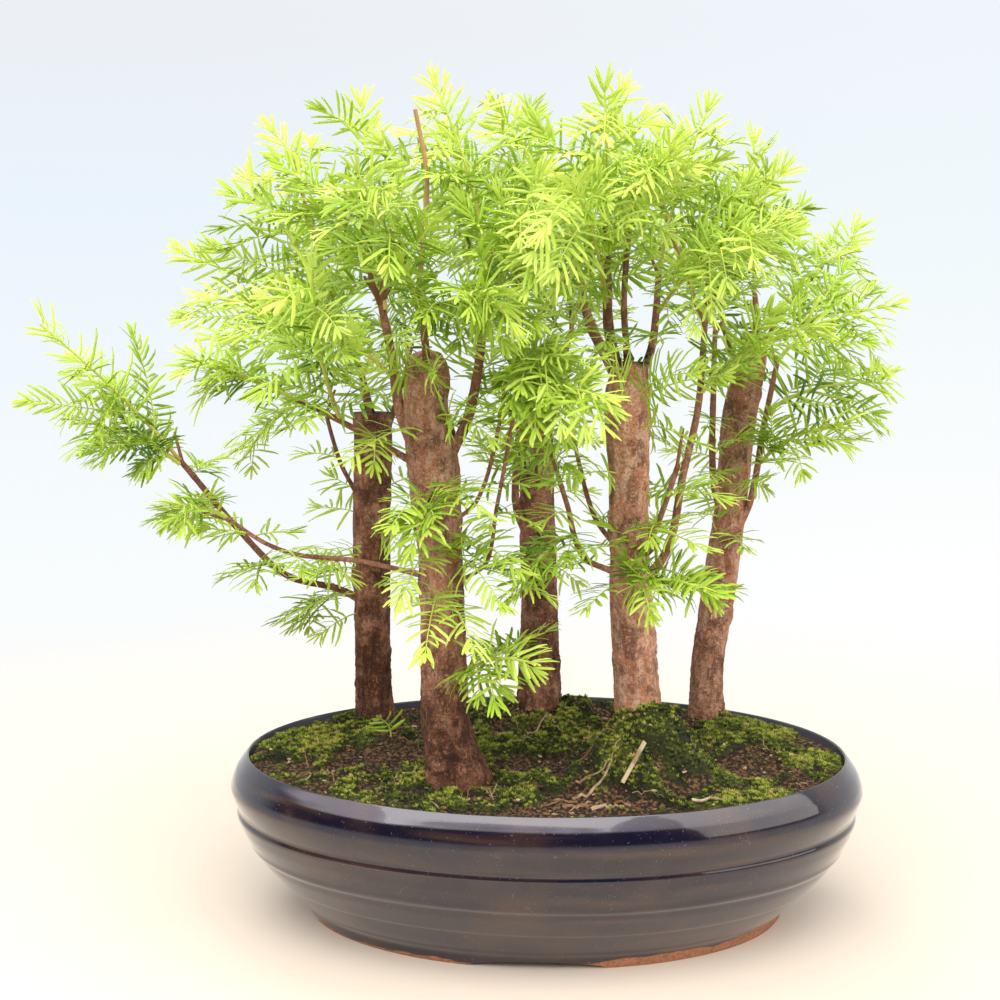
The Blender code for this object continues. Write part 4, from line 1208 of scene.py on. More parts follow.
@dataclass
class Moss:
    """Thousands of short tufts, modelled once and copied."""
    soil: SoilBed
    finish: Material
    tufts: int = 10800
    models: int = 5
    blades: int = 6
    blade_length: float = 0.0014
    blade_width: float = 0.00040
    seed: int = 11
    edge_gap: float = 0.0012
    trunk_gap: float = 0.0095
    sunk: float = 0.0004
    # A tuft's tone: from where it starts, and how much dry places, the tops of cushions (painted shade
    # darkens the tufts that stand low between them), chance, a bright tuft here and there and the way up a
    # blade add
    base_tone: float = -0.19
    dry_tone: float = 0.34
    gap_shade_tone: float = 0.46
    chance_tone: float = 0.13
    bright_tone: float = 0.3
    bright_share: float = 0.10
    tip_tone: float = 0.52

    def tuft_model(self, draw: random.Random) -> Mesh:
        """One tuft of pointed blades that lean out from its middle.

        Args:
            draw: The source of chance.

        Returns:
            Its points and its triangles.
        """
        deselect()
        bpy.ops.mesh.primitive_cone_add(vertices=3, radius1=self.blade_width, radius2=0.0,
                                        depth=self.blade_length, location=(0, 0, self.blade_length / 2))
        points, faces = template_of(settle(bpy.context.object, "blade"))
        heap_points, heap_faces = [], []
        for number in range(self.blades):
            turn = 2 * math.pi * number / self.blades + draw.uniform(-0.3, 0.3)
            lean = math.radians(draw.uniform(12, 60))
            place = Matrix.Rotation(turn, 3, "Z") @ Matrix.Rotation(lean, 3, "Y")
            heap_points.append(points @ np.array(place).T)
            heap_faces.append(faces + number * len(points))
        return np.concatenate(heap_points), np.concatenate(heap_faces)

    def tone(self, x: float, y: float, draw: random.Random) -> float:
        """Tone of a tuft's foot at a place, with painted shade where it stands low between cushions."""
        dry = noise.noise(Vector((x * 42 + 9, y * 42, 4.4)))
        # Painted shade: tufts low between the cushions get a darker tone
        tone = self.base_tone + self.dry_tone * dry + self.gap_shade_tone * self.soil.lump(x, y)
        return tone + draw.gauss(0, self.chance_tone) + self.bright_tone * (draw.random() < self.bright_share)

    def build(self) -> None:
        """Strew the tufts over the soil, left and right of the middle, and dress them."""
        draw = random.Random(self.seed)
        models = [self.tuft_model(draw) for _ in range(self.models)]
        heaps = {"moss_left": MeshHeap(), "moss_right": MeshHeap()}
        trunks = [Vector(in_metres(spec.trunk[1][:2])) for spec in TREES.values()]
        made = 0
        while made < self.tufts:
            x, y = self.soil.strewn_place(draw, 1.0, self.edge_gap)
            moss = self.soil.moss_share(x, y)
            if moss < draw.uniform(0.10, 0.80):
                continue
            if any((Vector((x, y)) - trunk).length < self.trunk_gap for trunk in trunks):
                continue
            points, faces = models[made % len(models)]
            size = draw.uniform(0.6, 1.35) * (0.75 + 0.5 * moss)
            turn = Matrix.Rotation(draw.uniform(0, 2 * math.pi), 3, "Z")
            foot = np.array((x, y, self.soil.height(x, y) - self.sunk))
            tone = self.tone(x, y, draw)
            placed = points @ np.array(turn).T * size
            tones = tone + placed[:, 2] / self.blade_length * self.tip_tone
            heaps["moss_left" if x < 0 else "moss_right"].add(placed + foot, faces, tones)
            made += 1
        for name, heap in heaps.items():
            finish_piece(heap.to_object(name), self.finish, Slot.SOIL)


@dataclass
class Litter:
    """Fine roots, bark chips and grit that lie on the soil."""
    soil: SoilBed
    finish: Material
    roots: int = 46
    chips: int = 420
    seed: int = 23
    root_steps: int = 12
    root_arch: float = 0.0012
    edge_limit: float = 0.97
    # Roots that the photograph shows: x, y (mm), heading (degrees), length and radius (mm)
    shown_roots: Rows = (
        (-30, -54, -70, 14, 0.55), (-31, -54, -100, 12, 0.45), (-29, -53, -40, 18, 0.40),
        (-36, -56, -150, 13, 0.35), (-27, -50, -25, 22, 0.35), (-22, -50, -65, 16, 0.45),
        (3, 42, 200, 26, 0.60), (10, 40, -20, 30, 0.45), (12, -62, 10, 26, 0.90),
        (14, -66, 165, 20, 0.60), (30, -66, -10, 12, 0.55), (66, -30, 40, 22, 0.50),
        (74, -24, 20, 16, 0.45), (-66, -40, -110, 12, 0.50), (-64, -40, -60, 13, 0.45),
        (-100, -28, -30, 20, 0.45), (-20, 4, 10, 24, 0.40), (18, 8, 60, 18, 0.35), (8, -72, 10, 15, 1.1),
        (20, -73, 25, 14, 1.2), (14, -69, -25, 12, 0.9), (12, -30, -15, 30, 0.60), (14, -48, -48, 26, 0.60),
        (38, -62, 15, 16, 0.25), (-112, -34, 20, 16, 0.45), (-106, -38, -60, 14, 0.40))

    def root_line(self, start: Row, heading: float, length: float, draw: random.Random) -> list[Vector]:
        """A wandering line over the soil.

        Args:
            start: Where it starts.
            heading: Its first heading, in radians.
            length: Its length.
            draw: The source of chance.

        Returns:
            The points along it, inside the tray.
        """
        x, y = start
        points = []
        bend = draw.uniform(-0.15, 0.15)
        for step in range(self.root_steps):
            if self.soil.edge_share(x, y) > self.edge_limit:
                break
            arch = self.root_arch * math.sin(math.pi * step / (self.root_steps - 1))
            points.append(Vector((x, y, self.soil.height(x, y) + arch * draw.uniform(0.3, 1.2))))
            heading += bend + draw.uniform(-0.28, 0.28)
            x += math.cos(heading) * length / self.root_steps
            y += math.sin(heading) * length / self.root_steps
        return points

    def build(self) -> None:
        """Lay the roots and the chips and dress them."""
        draw = random.Random(self.seed)
        roots = MeshHeap()
        lines = [((x * MM, y * MM), math.radians(way), length * MM, radius * MM)
                 for x, y, way, length, radius in self.shown_roots]
        while len(lines) < self.roots:
            lines.append((self.soil.strewn_place(draw, 0.9), draw.uniform(0, 2 * math.pi),
                          draw.uniform(0.010, 0.028), draw.uniform(0.0002, 0.0004)))
        for start, way, length, radius in lines:
            line = self.root_line(start, way, length, draw)
            if len(line) >= 4:
                radii = [radius * (1.0 - 0.7 * place / len(line)) for place in range(len(line))]
                roots.add_strand(line, radii, 6, draw.uniform(0.25, 0.95))
        finish_piece(roots.to_object("fine_roots"), self.finish, Slot.DEAD_WOOD)
        finish_piece(self.chip_heap(draw).to_object("soil_chips"), self.finish, Slot.DEAD_WOOD)

    def chip_heap(self, draw: random.Random) -> MeshHeap:
        """Chips strewn over the soil, modelled once and copied.

        Args:
            draw: The source of chance.

        Returns:
            The chips.
        """
        deselect()
        bpy.ops.mesh.primitive_ico_sphere_add(subdivisions=1, radius=1.0)
        points, faces = template_of(settle(bpy.context.object, "chip"))
        heap = MeshHeap()
        for _ in range(self.chips):
            x, y = self.soil.strewn_place(draw, 0.95)
            size = draw.uniform(0.0004, 0.0013)
            shape = Matrix.Diagonal((draw.uniform(0.6, 1.9), draw.uniform(0.5, 1.0), draw.uniform(0.25, 0.6)))
            turn = Matrix.Rotation(draw.uniform(0, 6.28), 3, "Z")
            turn = turn @ Matrix.Rotation(draw.uniform(-0.5, 0.5), 3, "X")
            jag = np.array([draw.uniform(0.7, 1.2) for _ in points])[:, None]
            placed = (points * jag) @ np.array(turn @ shape).T * size
            foot = np.array((x, y, self.soil.height(x, y) + size * 0.3))
            heap.add(placed + foot, faces, draw.uniform(0.1, 1.0))
        return heap


@dataclass
class DeadStick:
    """A split stick that leans on the mound, and a pale twig by the rim."""
    soil: SoilBed
    finish: Material
    spans: int = 5
    ends: Rows = ((44, -50), (34, -59))
    radius: float = 0.0011
    rise: float = 0.0155
    gap: float = 0.0003
    twig_ends: Rows = ((63, -69), (75, -72))
    twig_radius: float = 0.0008
    twig_lift: float = 0.0012
    torn: float = 0.0008
    crease: float = 50.0

    def build(self) -> None:
        """Model the stick and the twig and dress them."""
        shares = [i / self.spans for i in range(self.spans + 1)]
        (ax, ay), (bx, by) = self.ends
        feet = [Vector((ax + (bx - ax) * i / self.spans, ay + (by - ay) * i / self.spans, 0)) * MM
                for i in range(self.spans + 1)]
        ground = [self.soil.plain_height(foot.x, foot.y) for foot in feet]
        line = [ground[-1] + self.rise * (1 - share) for share in shares]
        lift = max(g - z for g, z in zip(ground, line)) + self.radius * 1.5 + self.gap
        stick_line = [(foot.x, foot.y, z + lift, self.radius) for foot, z in zip(feet, line)]
        (ax, ay), (bx, by) = self.twig_ends
        twig_line = []
        for i, share in enumerate(shares):
            x, y = (ax + (bx - ax) * i / self.spans) * MM, (ay + (by - ay) * i / self.spans) * MM
            z = self.soil.height(x, y) + self.twig_lift + self.twig_lift * (1 - share)
            twig_line.append((x, y, z, self.twig_radius * (1.1 - 0.1 * i)))
        finish_piece(self.split_wood("stick_dead_wood", stick_line), self.finish, Slot.DEAD_WOOD, "stick")
        finish_piece(self.split_wood("pale_twig", twig_line), self.finish, Slot.DEAD_WOOD)

    def split_wood(self, name: str, samples: Sequence[Row]) -> Piece:
        """A weathered stick with uneven sides and torn ends.

        Args:
            name: The piece's name.
            samples: Places and the radius along its middle line.

        Returns:
            The stick.
        """
        fine = smooth_points(samples, 8)
        stick = tube(name, fine, 6)
        first, last = Vector(fine[0][:3]), Vector(fine[-1][:3])
        run = (last - first).normalized()
        for vertex in stick.data.vertices:
            along = (vertex.co - first).dot(run)
            axis = first + run * along
            out = vertex.co - axis
            ridge = noise.noise(out.normalized() * 2.2 + Vector((0, 0, along * 60)))
            vertex.co = axis + out * (0.88 + 0.22 * ridge)
            if along < self.torn or along > (last - first).length - self.torn:
                vertex.co += run * 0.0007 * noise.noise(out * 2500)
        stick = settle(stick, name)
        put_attribute(stick, "tone", [0.0] * len(stick.data.vertices))
        set_in_place(stick, self.crease)
        return stick


# Wood

@dataclass
class Tree:
    """A cut-back trunk with a lobed root flare, flaky bark and slim branches, as one solid."""
    name: str
    spec: TreeSpec
    soil: SoilBed
    finish: Material
    sides: int = 28
    flutes: float = 0.07
    root_lobes: int = 5
    root_fade: float = 0.014
    collar: float = 1.45
    ring_pitch: float = 0.0013
    branch_pitch: float = 0.0022
    ridge: float = 0.00042
    flake: float = 0.00072
    knot: float = 0.0035
    # The relief fades to none at the middle line, over this distance from it
    relief_fade: float = 0.006
    # Flakes grow this much coarser towards the ground, over this height
    rough: float = 1.2
    rough_height: float = 0.060
    healed_rise: float = 0.0022
    sawn_rise: float = 0.0004
    ragged: float = 0.0022
    ragged_height: float = 0.004
    # Past this distance from the trunk's middle line a point lies on a limb
    limb_reach: float = 0.0125
    cut_skin: float = 0.0006
    # The bark turns from its foot's tone to the upper one from this height, over that height
    pale_from: float = 0.095
    pale_over: float = 0.070
    # How far a scar darkens the bark tone in its dent, as painted shade, and lightens it on a bulge, per
    # metre of step
    scar_shade_and_tone: float = 300.0
    crease: float = 55.0

    def branch_samples(self, branch: tuple) -> list[Row]:
        """Samples along a branch, as the CAD has them, with a thicker collar at its root.

        Args:
            branch: Radius at the root and the tip, then points.

        Returns:
            Samples of x, y, z and radius.
        """
        root, tip, points = branch
        last = len(points) - 1
        tapered = [in_metres((*point, root + (tip - root) * i / last)) for i, point in enumerate(points)]
        samples = smooth_points(tapered, 1 if last > 4 else 2)
        x, y, z, radius = samples[0]
        samples[0] = (x, y, z, radius * self.collar)
        return samples

    def trunk_samples(self) -> list[Row]:
        """The trunk's own points and radii, in metres."""
        return [in_metres(point) for point in self.spec.trunk]

    def stem_point(self, branch: str, along: float) -> tuple[Vector, Vector]:
        """Point and heading of the trunk or a branch at a share of its length.

        Args:
            branch: The branch's name, or trunk.
            along: The share of its length.

        Returns:
            The point and the heading.
        """
        on_trunk = branch == "trunk"
        samples = self.trunk_samples() if on_trunk else self.branch_samples(self.spec.branches[branch])
        place = along * (len(samples) - 1)
        low = min(int(place), len(samples) - 2)
        a, b = samples[low], samples[low + 1]
        return Vector(a[:3]).lerp(Vector(b[:3]), place - low), (Vector(b[:3]) - Vector(a[:3])).normalized()

    def trunk_rings(self) -> list[Row]:
        """Closely spaced samples up the trunk, closed over its top.

        Returns:
            Samples of x, y, z and radius.
        """
        samples = smooth_points(self.trunk_samples(), pitch=self.ring_pitch)
        x, y, z, radius = samples[-1]
        rise = self.healed_rise if self.spec.top is TrunkTop.HEALED else self.sawn_rise
        for share in (0.25, 0.5, 0.75, 0.93, 0.985):
            angle = share * math.pi / 2
            samples.append((x, y, z + rise * math.sin(angle), radius * math.cos(angle)))
        return samples

    def build_trunk(self) -> Piece:
        """Model the trunk with its bark.

        Returns:
            The trunk.
        """
        trunk = tube(self.name + "_wood", self.trunk_rings(), self.sides)
        coarse = self.trunk_samples()
        foot_x, foot_y = coarse[1][:2]
        ground = self.soil.plain_height(foot_x, foot_y)
        seed = self.spec.trunk[0][0]
        for vertex in trunk.data.vertices:
            z = min(max(vertex.co.z, coarse[0][2]), coarse[-1][2])
            axis = self.axis_at(coarse, z)
            out = vertex.co - axis
            out.z = 0.0
            angle = math.atan2(out.y, out.x)
            cos, sin = math.cos(angle), math.sin(angle)
            lobe = 0.5 + 0.5 * math.cos(self.root_lobes * angle + seed)
            flare = self.spec.root_spread * lobe * math.exp(-((z - ground) / self.root_fade) ** 2)
            flute = self.flutes * noise.noise(Vector((2 * cos, 2 * sin, z * 40)))
            scale = 1.0 + flare + flute
            share = min(1.0, out.length / self.relief_fade)
            ridge = noise.noise(Vector((3.2 * cos + seed, 3.2 * sin, z * 130)))
            flake = abs(noise.noise(Vector((6 * cos, 6 * sin + seed, z * 420))))
            knot = max(0.0, noise.noise(Vector((2.6 * cos, 2.6 * sin - seed, z * 75))) - 0.42)
            rough = 1.0 + self.rough * max(0.0, 1.0 - (z - ground) / self.rough_height)
            step = (self.ridge * ridge - self.flake * rough * flake + self.knot * knot) * share
            step += self.scar_step(angle, z, out.length)
            way = out.normalized() if out.length > 1e-7 else out
            vertex.co.x = axis.x + out.x * scale + way.x * step
            vertex.co.y = axis.y + out.y * scale + way.y * step
            if self.spec.top is TrunkTop.RAGGED and vertex.co.z > coarse[-1][2] - self.ragged_height:
                vertex.co.z += self.ragged * noise.noise(Vector((vertex.co.x * 350, vertex.co.y * 350, 1.0)))
        return trunk

    def scar_step(self, angle: float, z: float, radius: float) -> float:
        """How far the scars move the bark out, each a rim round a dent.

        Args:
            angle: Angle of the point round the trunk.
            z: Its height.
            radius: Its distance from the middle line.

        Returns:
            The step outwards.
        """
        steps = []
        for turn, height, wide, deep in self.spec.scars:
            aside = (angle - math.radians(turn) + math.pi) % (2 * math.pi) - math.pi
            away = math.hypot(aside * radius, z - height * MM) / (wide * MM)
            rim, dent = 0.45 * math.exp(-((away - 1.1) / 0.3) ** 2), math.exp(-(away / 0.75) ** 2)
            steps.append(deep * MM * (rim - dent))
        return sum(steps)

    def axis_at(self, samples: Sequence[Row], z: float) -> Vector:
        """Point on the trunk's middle line at a height.

        Args:
            samples: Samples up the trunk.
            z: The height.

        Returns:
            The point.
        """
        for low, high in zip(samples, samples[1:]):
            if low[2] <= z <= high[2]:
                share = (z - low[2]) / max(high[2] - low[2], 1e-9)
                return Vector(low[:3]).lerp(Vector(high[:3]), share)
        return Vector(samples[-1][:3])

    def branch_rings(self, branch: tuple, draw: random.Random) -> list[Row]:
        """Closely spaced samples along a branch, swollen here and there at its buds.

        Args:
            branch: Radius at the root and the tip, then points.
            draw: The source of chance.

        Returns:
            Samples of x, y, z and radius.
        """
        coarse = self.branch_samples(branch)
        rings = smooth_points(coarse, pitch=self.branch_pitch)
        x, y, z, radius = coarse[-1]
        run = (Vector(coarse[-1][:3]) - Vector(coarse[-2][:3])).normalized()
        rings.append((*(Vector((x, y, z)) + run * radius * 0.7), radius * 0.45))
        phase = draw.uniform(0, 9)
        return [(x, y, z, r * (1.0 + 0.10 * noise.noise(Vector((i * 0.55 + phase, 0, 0)))))
                for i, (x, y, z, r) in enumerate(rings)]

    def build(self) -> None:
        """Model the tree's wood and dress it."""
        draw = random.Random(self.name)
        trunk = self.build_trunk()
        for name, branch in self.spec.branches.items():
            join_solid(trunk, tube(name, self.branch_rings(branch, draw), 5), "UNION", "MANIFOLD")
        self.put_tones(trunk)
        trunk = settle(trunk, self.name + "_wood")
        set_in_place(trunk, self.crease)
        finish_piece(trunk, self.finish, Slot.BARK, self.name)

    def put_tones(self, trunk: Piece) -> None:
        """Tell the bark where limbs, sawn ends and pale places are, and where painted shade darkens the scar
        dents.

        Args:
            trunk: The tree's wood.
        """
        coarse = self.trunk_samples()
        top = coarse[-1][2]
        low, high = self.spec.pale
        limbs, cuts, pales = [], [], []
        for vertex in trunk.data.vertices:
            z = min(vertex.co.z, top)
            axis = self.axis_at(coarse, z)
            near = (vertex.co - axis).length / self.limb_reach
            limbs.append(clamped((near - 1.0) * 4.0))
            above = vertex.co.z - (top - self.cut_skin)
            cuts.append(1.0 if above > 0 and near < 0.95 and self.spec.top is not TrunkTop.HEALED else 0.0)
            rise = clamped((z - self.pale_from) / self.pale_over)
            angle = math.atan2(vertex.co.y - axis.y, vertex.co.x - axis.x)
            scarred = self.scar_step(angle, z, near * self.limb_reach)
            # Scar dents lower the tone, which paints shade in them
            pales.append(low + (high - low) * rise + scarred * self.scar_shade_and_tone)
        for name, values in (("limb", limbs), ("cut", cuts), ("pale", pales)):
            put_attribute(trunk, name, values)


# Leafy shoots

@dataclass(frozen=True)
class StemLine:
    """The arched middle line of a stem."""
    start: Vector
    control: Vector
    end: Vector

    @classmethod
    def arched(cls, start: Vector, leave: Vector, end: Vector) -> "StemLine":
        """A line that leaves its start in a direction and bends to its end."""
        return cls(start, start + leave * (end - start).length * 0.45, end)

    def at(self, share: float) -> tuple[Vector, Vector]:
        """Point and heading at a share of its length."""
        back = self.start.lerp(self.control, share)
        ahead = self.control.lerp(self.end, share)
        return back.lerp(ahead, share), (ahead - back).normalized()

    def frame(self, share: float, up: Vector) -> tuple[Vector, Vector, Vector, Vector]:
        """Point, heading, side and upper direction at a share of its length."""
        point, heading = self.at(share)
        side = heading.cross(up).normalized()
        return point, heading, side, side.cross(heading)


@dataclass
class Needle:
    """One soft flat needle, modelled once and copied along every spray."""
    length: float = 0.0150
    width: float = 0.00155
    thickness: float = 0.00032
    arch: float = 0.24
    # How much brighter its tip is than its foot, and the tone that none goes past
    tip_tone: float = 0.04
    brightest: float = 0.47
    # Share of the needles that a spray has lost
    missing: float = 0.04
    # Where its rings are along it, and how wide each is
    rings: Rows = ((0.0, 0.45), (0.24, 1.0), (0.80, 0.96), (1.0, 0.42))
    template: Mesh = field(init=False)

    def __post_init__(self) -> None:
        """Model the needle along X, with its face up, one unit long and wide."""
        deselect()
        bpy.ops.mesh.primitive_circle_add(vertices=3, radius=0.577, fill_type="NGON",
                                          rotation=(math.pi / 2, 0, math.pi / 2))
        needle = bpy.context.object
        bpy.ops.object.transform_apply(location=False, rotation=True, scale=False)
        bpy.ops.object.mode_set(mode="EDIT")
        bpy.ops.mesh.select_all(action="SELECT")
        first = self.rings[0][1]
        bpy.ops.transform.resize(value=(1.0, first, first), center_override=(0, 0, 0))
        for (place, wide), (next_place, next_wide) in zip(self.rings, self.rings[1:]):
            bpy.ops.mesh.extrude_region_move(TRANSFORM_OT_translate={"value": (next_place - place, 0, 0)})
            change = next_wide / wide
            bpy.ops.transform.resize(value=(1.0, change, change), center_override=(next_place, 0, 0))
        face_outwards()
        self.template = template_of(settle(needle, "needle"))

    def reach(self, share: float) -> float:
        """Length of a needle at a share of its spray, as in the CAD."""
        return self.length * (0.72 + 0.28 * min(1.0, 5 * share)) * (1.0 - 0.5 * share ** 2)


@dataclass(frozen=True)
class SprayStyle:
    """How closely and how far forward the needles sit on a stem."""
    pitch: float
    foot_sweep: float
    tip_sweep: float
    reach: float
    tip_reach: float
    stem: float
    twist: float
    # The needles stand closer near the tip
    tip_pitch: float
    dense_tip: float = 0.018

    def needle_length(self, needle: Needle, along: float) -> float:
        """Length of a needle at a share of the spray."""
        opened = 0.75 + 0.25 * min(1.0, 4 * along)
        return needle.length * self.reach * opened * (1 - (1 - self.tip_reach) * along ** 2)


LEADER = SprayStyle(pitch=0.0060, foot_sweep=math.radians(10), tip_sweep=math.radians(52),
                    reach=1.36, tip_reach=0.55, stem=0.00105, twist=0.45, tip_pitch=0.0028)
SIDE_SPRAY = SprayStyle(pitch=0.0028, foot_sweep=math.radians(8), tip_sweep=math.radians(66),
                        reach=0.96, tip_reach=0.68, stem=0.00048, twist=0.12, tip_pitch=0.0028)
SEEDLING_SPRAY = SprayStyle(pitch=0.0034, foot_sweep=math.radians(24), tip_sweep=math.radians(64),
                            reach=0.78, tip_reach=0.70, stem=0.00050, twist=0.05, tip_pitch=0.0034)


class Foliage:
    """The stems and needles of one piece, and its own source of chance."""

    def __init__(self, needle: Needle, seed: str) -> None:
        """Start bare.

        Args:
            needle: The needle to copy.
            seed: What seeds the source of chance.
        """
        self.needle = needle
        self.draw = random.Random(seed)
        self.heap = MeshHeap()
        self.rows: list[Row] = []

    def stray(self, spread: float) -> Vector:
        """A small step drawn in any direction."""
        return Vector([self.draw.gauss(0, spread) for _ in range(3)])

    def add_needle(self, foot: Vector, out: Vector, face: Vector, bend: Vector, length: float, width: float,
                   droop: float, tone: float) -> None:
        """Add one needle.

        Args:
            foot: Where it leaves the stem.
            out: The direction it points in.
            face: The way its upper side faces.
            bend: The way its tip bows sideways, as a share of its length.
            length: Its length.
            width: Its width.
            droop: How far its tip hangs, as a share of its length.
            tone: Its tone.
        """
        self.rows.append((*foot, *out, *face, *bend, length, width, droop, tone))

    def add_spray(self, line: StemLine, length: float, up: Vector, bare: float, youth_and_light: float,
                  style: SprayStyle) -> None:
        """Lay needles in two ranks along a line, and its slim stem.

        Args:
            line: The spray's middle line.
            length: Its length.
            up: The way its upper side faces.
            bare: How far it is bare at its foot.
            youth_and_light: Its tone, higher for younger needles and where painted light falls.
            style: How its needles sit.
        """
        draw = self.draw
        at = bare
        while at < length:
            along = (at - bare) / (length - bare)
            point, heading, side, above = line.frame(at / length, up)
            turn = Matrix.Rotation(draw.gauss(0, style.twist), 3, heading)
            side, above = turn @ side, turn @ above
            sweep = style.foot_sweep + (style.tip_sweep - style.foot_sweep) * along ** 1.3
            for way in (-1, 1):
                angle = sweep + draw.gauss(0, 0.11)
                out = (side * way * math.cos(angle) + heading * math.sin(angle)
                       + above * draw.gauss(0.22, 0.16)).normalized()
                face = above + side * way * draw.gauss(0.15, 0.25) + heading * draw.gauss(0, 0.2)
                face = face.normalized()
                reach = style.needle_length(self.needle, along) * draw.uniform(0.78, 1.10)
                if draw.random() < self.needle.missing:
                    continue
                bend = heading * draw.gauss(0.08, 0.14)
                tone = youth_and_light - 0.05 + 0.13 * along + draw.gauss(0, 0.045)
                self.add_needle(point + side * way * style.stem * 0.5, out, face, bend, reach,
                                self.needle.width * draw.uniform(0.80, 1.08), draw.uniform(0.20, 0.62),
                                tone)
            at += style.pitch if at < length - style.dense_tip else style.tip_pitch
        self.add_tip(line, up, youth_and_light, style)
        self.add_stem(line, length, style)

    def add_tip(self, line: StemLine, up: Vector, youth_and_light: float, style: SprayStyle) -> None:
        """Close a spray with a small tuft of fresh needles.

        Args:
            line: The spray's middle line.
            up: The way its upper side faces.
            youth_and_light: Its tone, higher for younger needles and where painted light falls.
            style: How its needles sit.
        """
        draw = self.draw
        point, heading, side, above = line.frame(1.0, up)
        for spread in (-0.42, -0.12, 0.14, 0.42):
            out = (heading + side * spread + above * draw.gauss(0.05, 0.12)).normalized()
            reach = style.needle_length(self.needle, 1.0) * draw.uniform(0.75, 1.1)
            self.add_needle(point, out, above, side * draw.gauss(0, 0.08), reach, self.needle.width * 0.85,
                            draw.uniform(0.0, 0.3), youth_and_light + 0.08)

    def add_stem(self, line: StemLine, length: float, style: SprayStyle) -> None:
        """The slim stem of a spray, green and then browner towards a long stem's foot.

        Args:
            line: The spray's middle line.
            length: Its length.
            style: How thick it is.
        """
        steps = max(4, round(length / 0.008))
        middle = [line.at(step / steps)[0] for step in range(steps + 1)]
        radii = [style.stem * (1.0 - 0.5 * step / steps) for step in range(steps + 1)]
        wood = max(0.0, 0.30 * (length / 0.10) - 0.10)
        tones = [0.51 + wood * (1.0 - step / steps) ** 1.6 for step in range(steps + 1)]
        self.heap.add_strand(middle, radii, 5, tones)

    def to_object(self, name: str) -> Piece:
        """All of it as one object, but for needles that would leave the CAD part's box.

        Args:
            name: The object's name.

        Returns:
            The object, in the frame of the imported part.
        """
        rows = np.array(self.rows)[:, None]
        foot, out, face, bend = (rows[..., first:first + 3] for first in (0, 3, 6, 9))
        length, width, droop, tone = (rows[..., first:first + 1] for first in (12, 13, 14, 15))
        side = np.cross(face, out)
        side /= np.linalg.norm(side, axis=-1, keepdims=True)
        model, faces = self.needle.template
        u, v, w = (model[:, axis, None] for axis in range(3))
        rise = w * self.needle.thickness + (self.needle.arch * u - u ** 2 * droop) * length
        points = (foot + u * length * out + v * width * side + rise * np.cross(out, side)
                  + u ** 2 * length * bend)
        low, high = (np.array(corner) - np.array(TRAY_PLACE) for corner in CAD_BOX)
        kept = ((points >= low) & (points <= high)).all(axis=(1, 2))
        points, tone = points[kept], tone[kept]
        shifted = faces + (np.arange(len(points)) * len(model))[:, None, None]
        tones = np.clip(tone + u * self.needle.tip_tone, 0.0, self.needle.brightest)
        self.heap.add(points.reshape(-1, 3), shifted.reshape(-1, 3), tones.ravel())
        return self.heap.to_object(name)


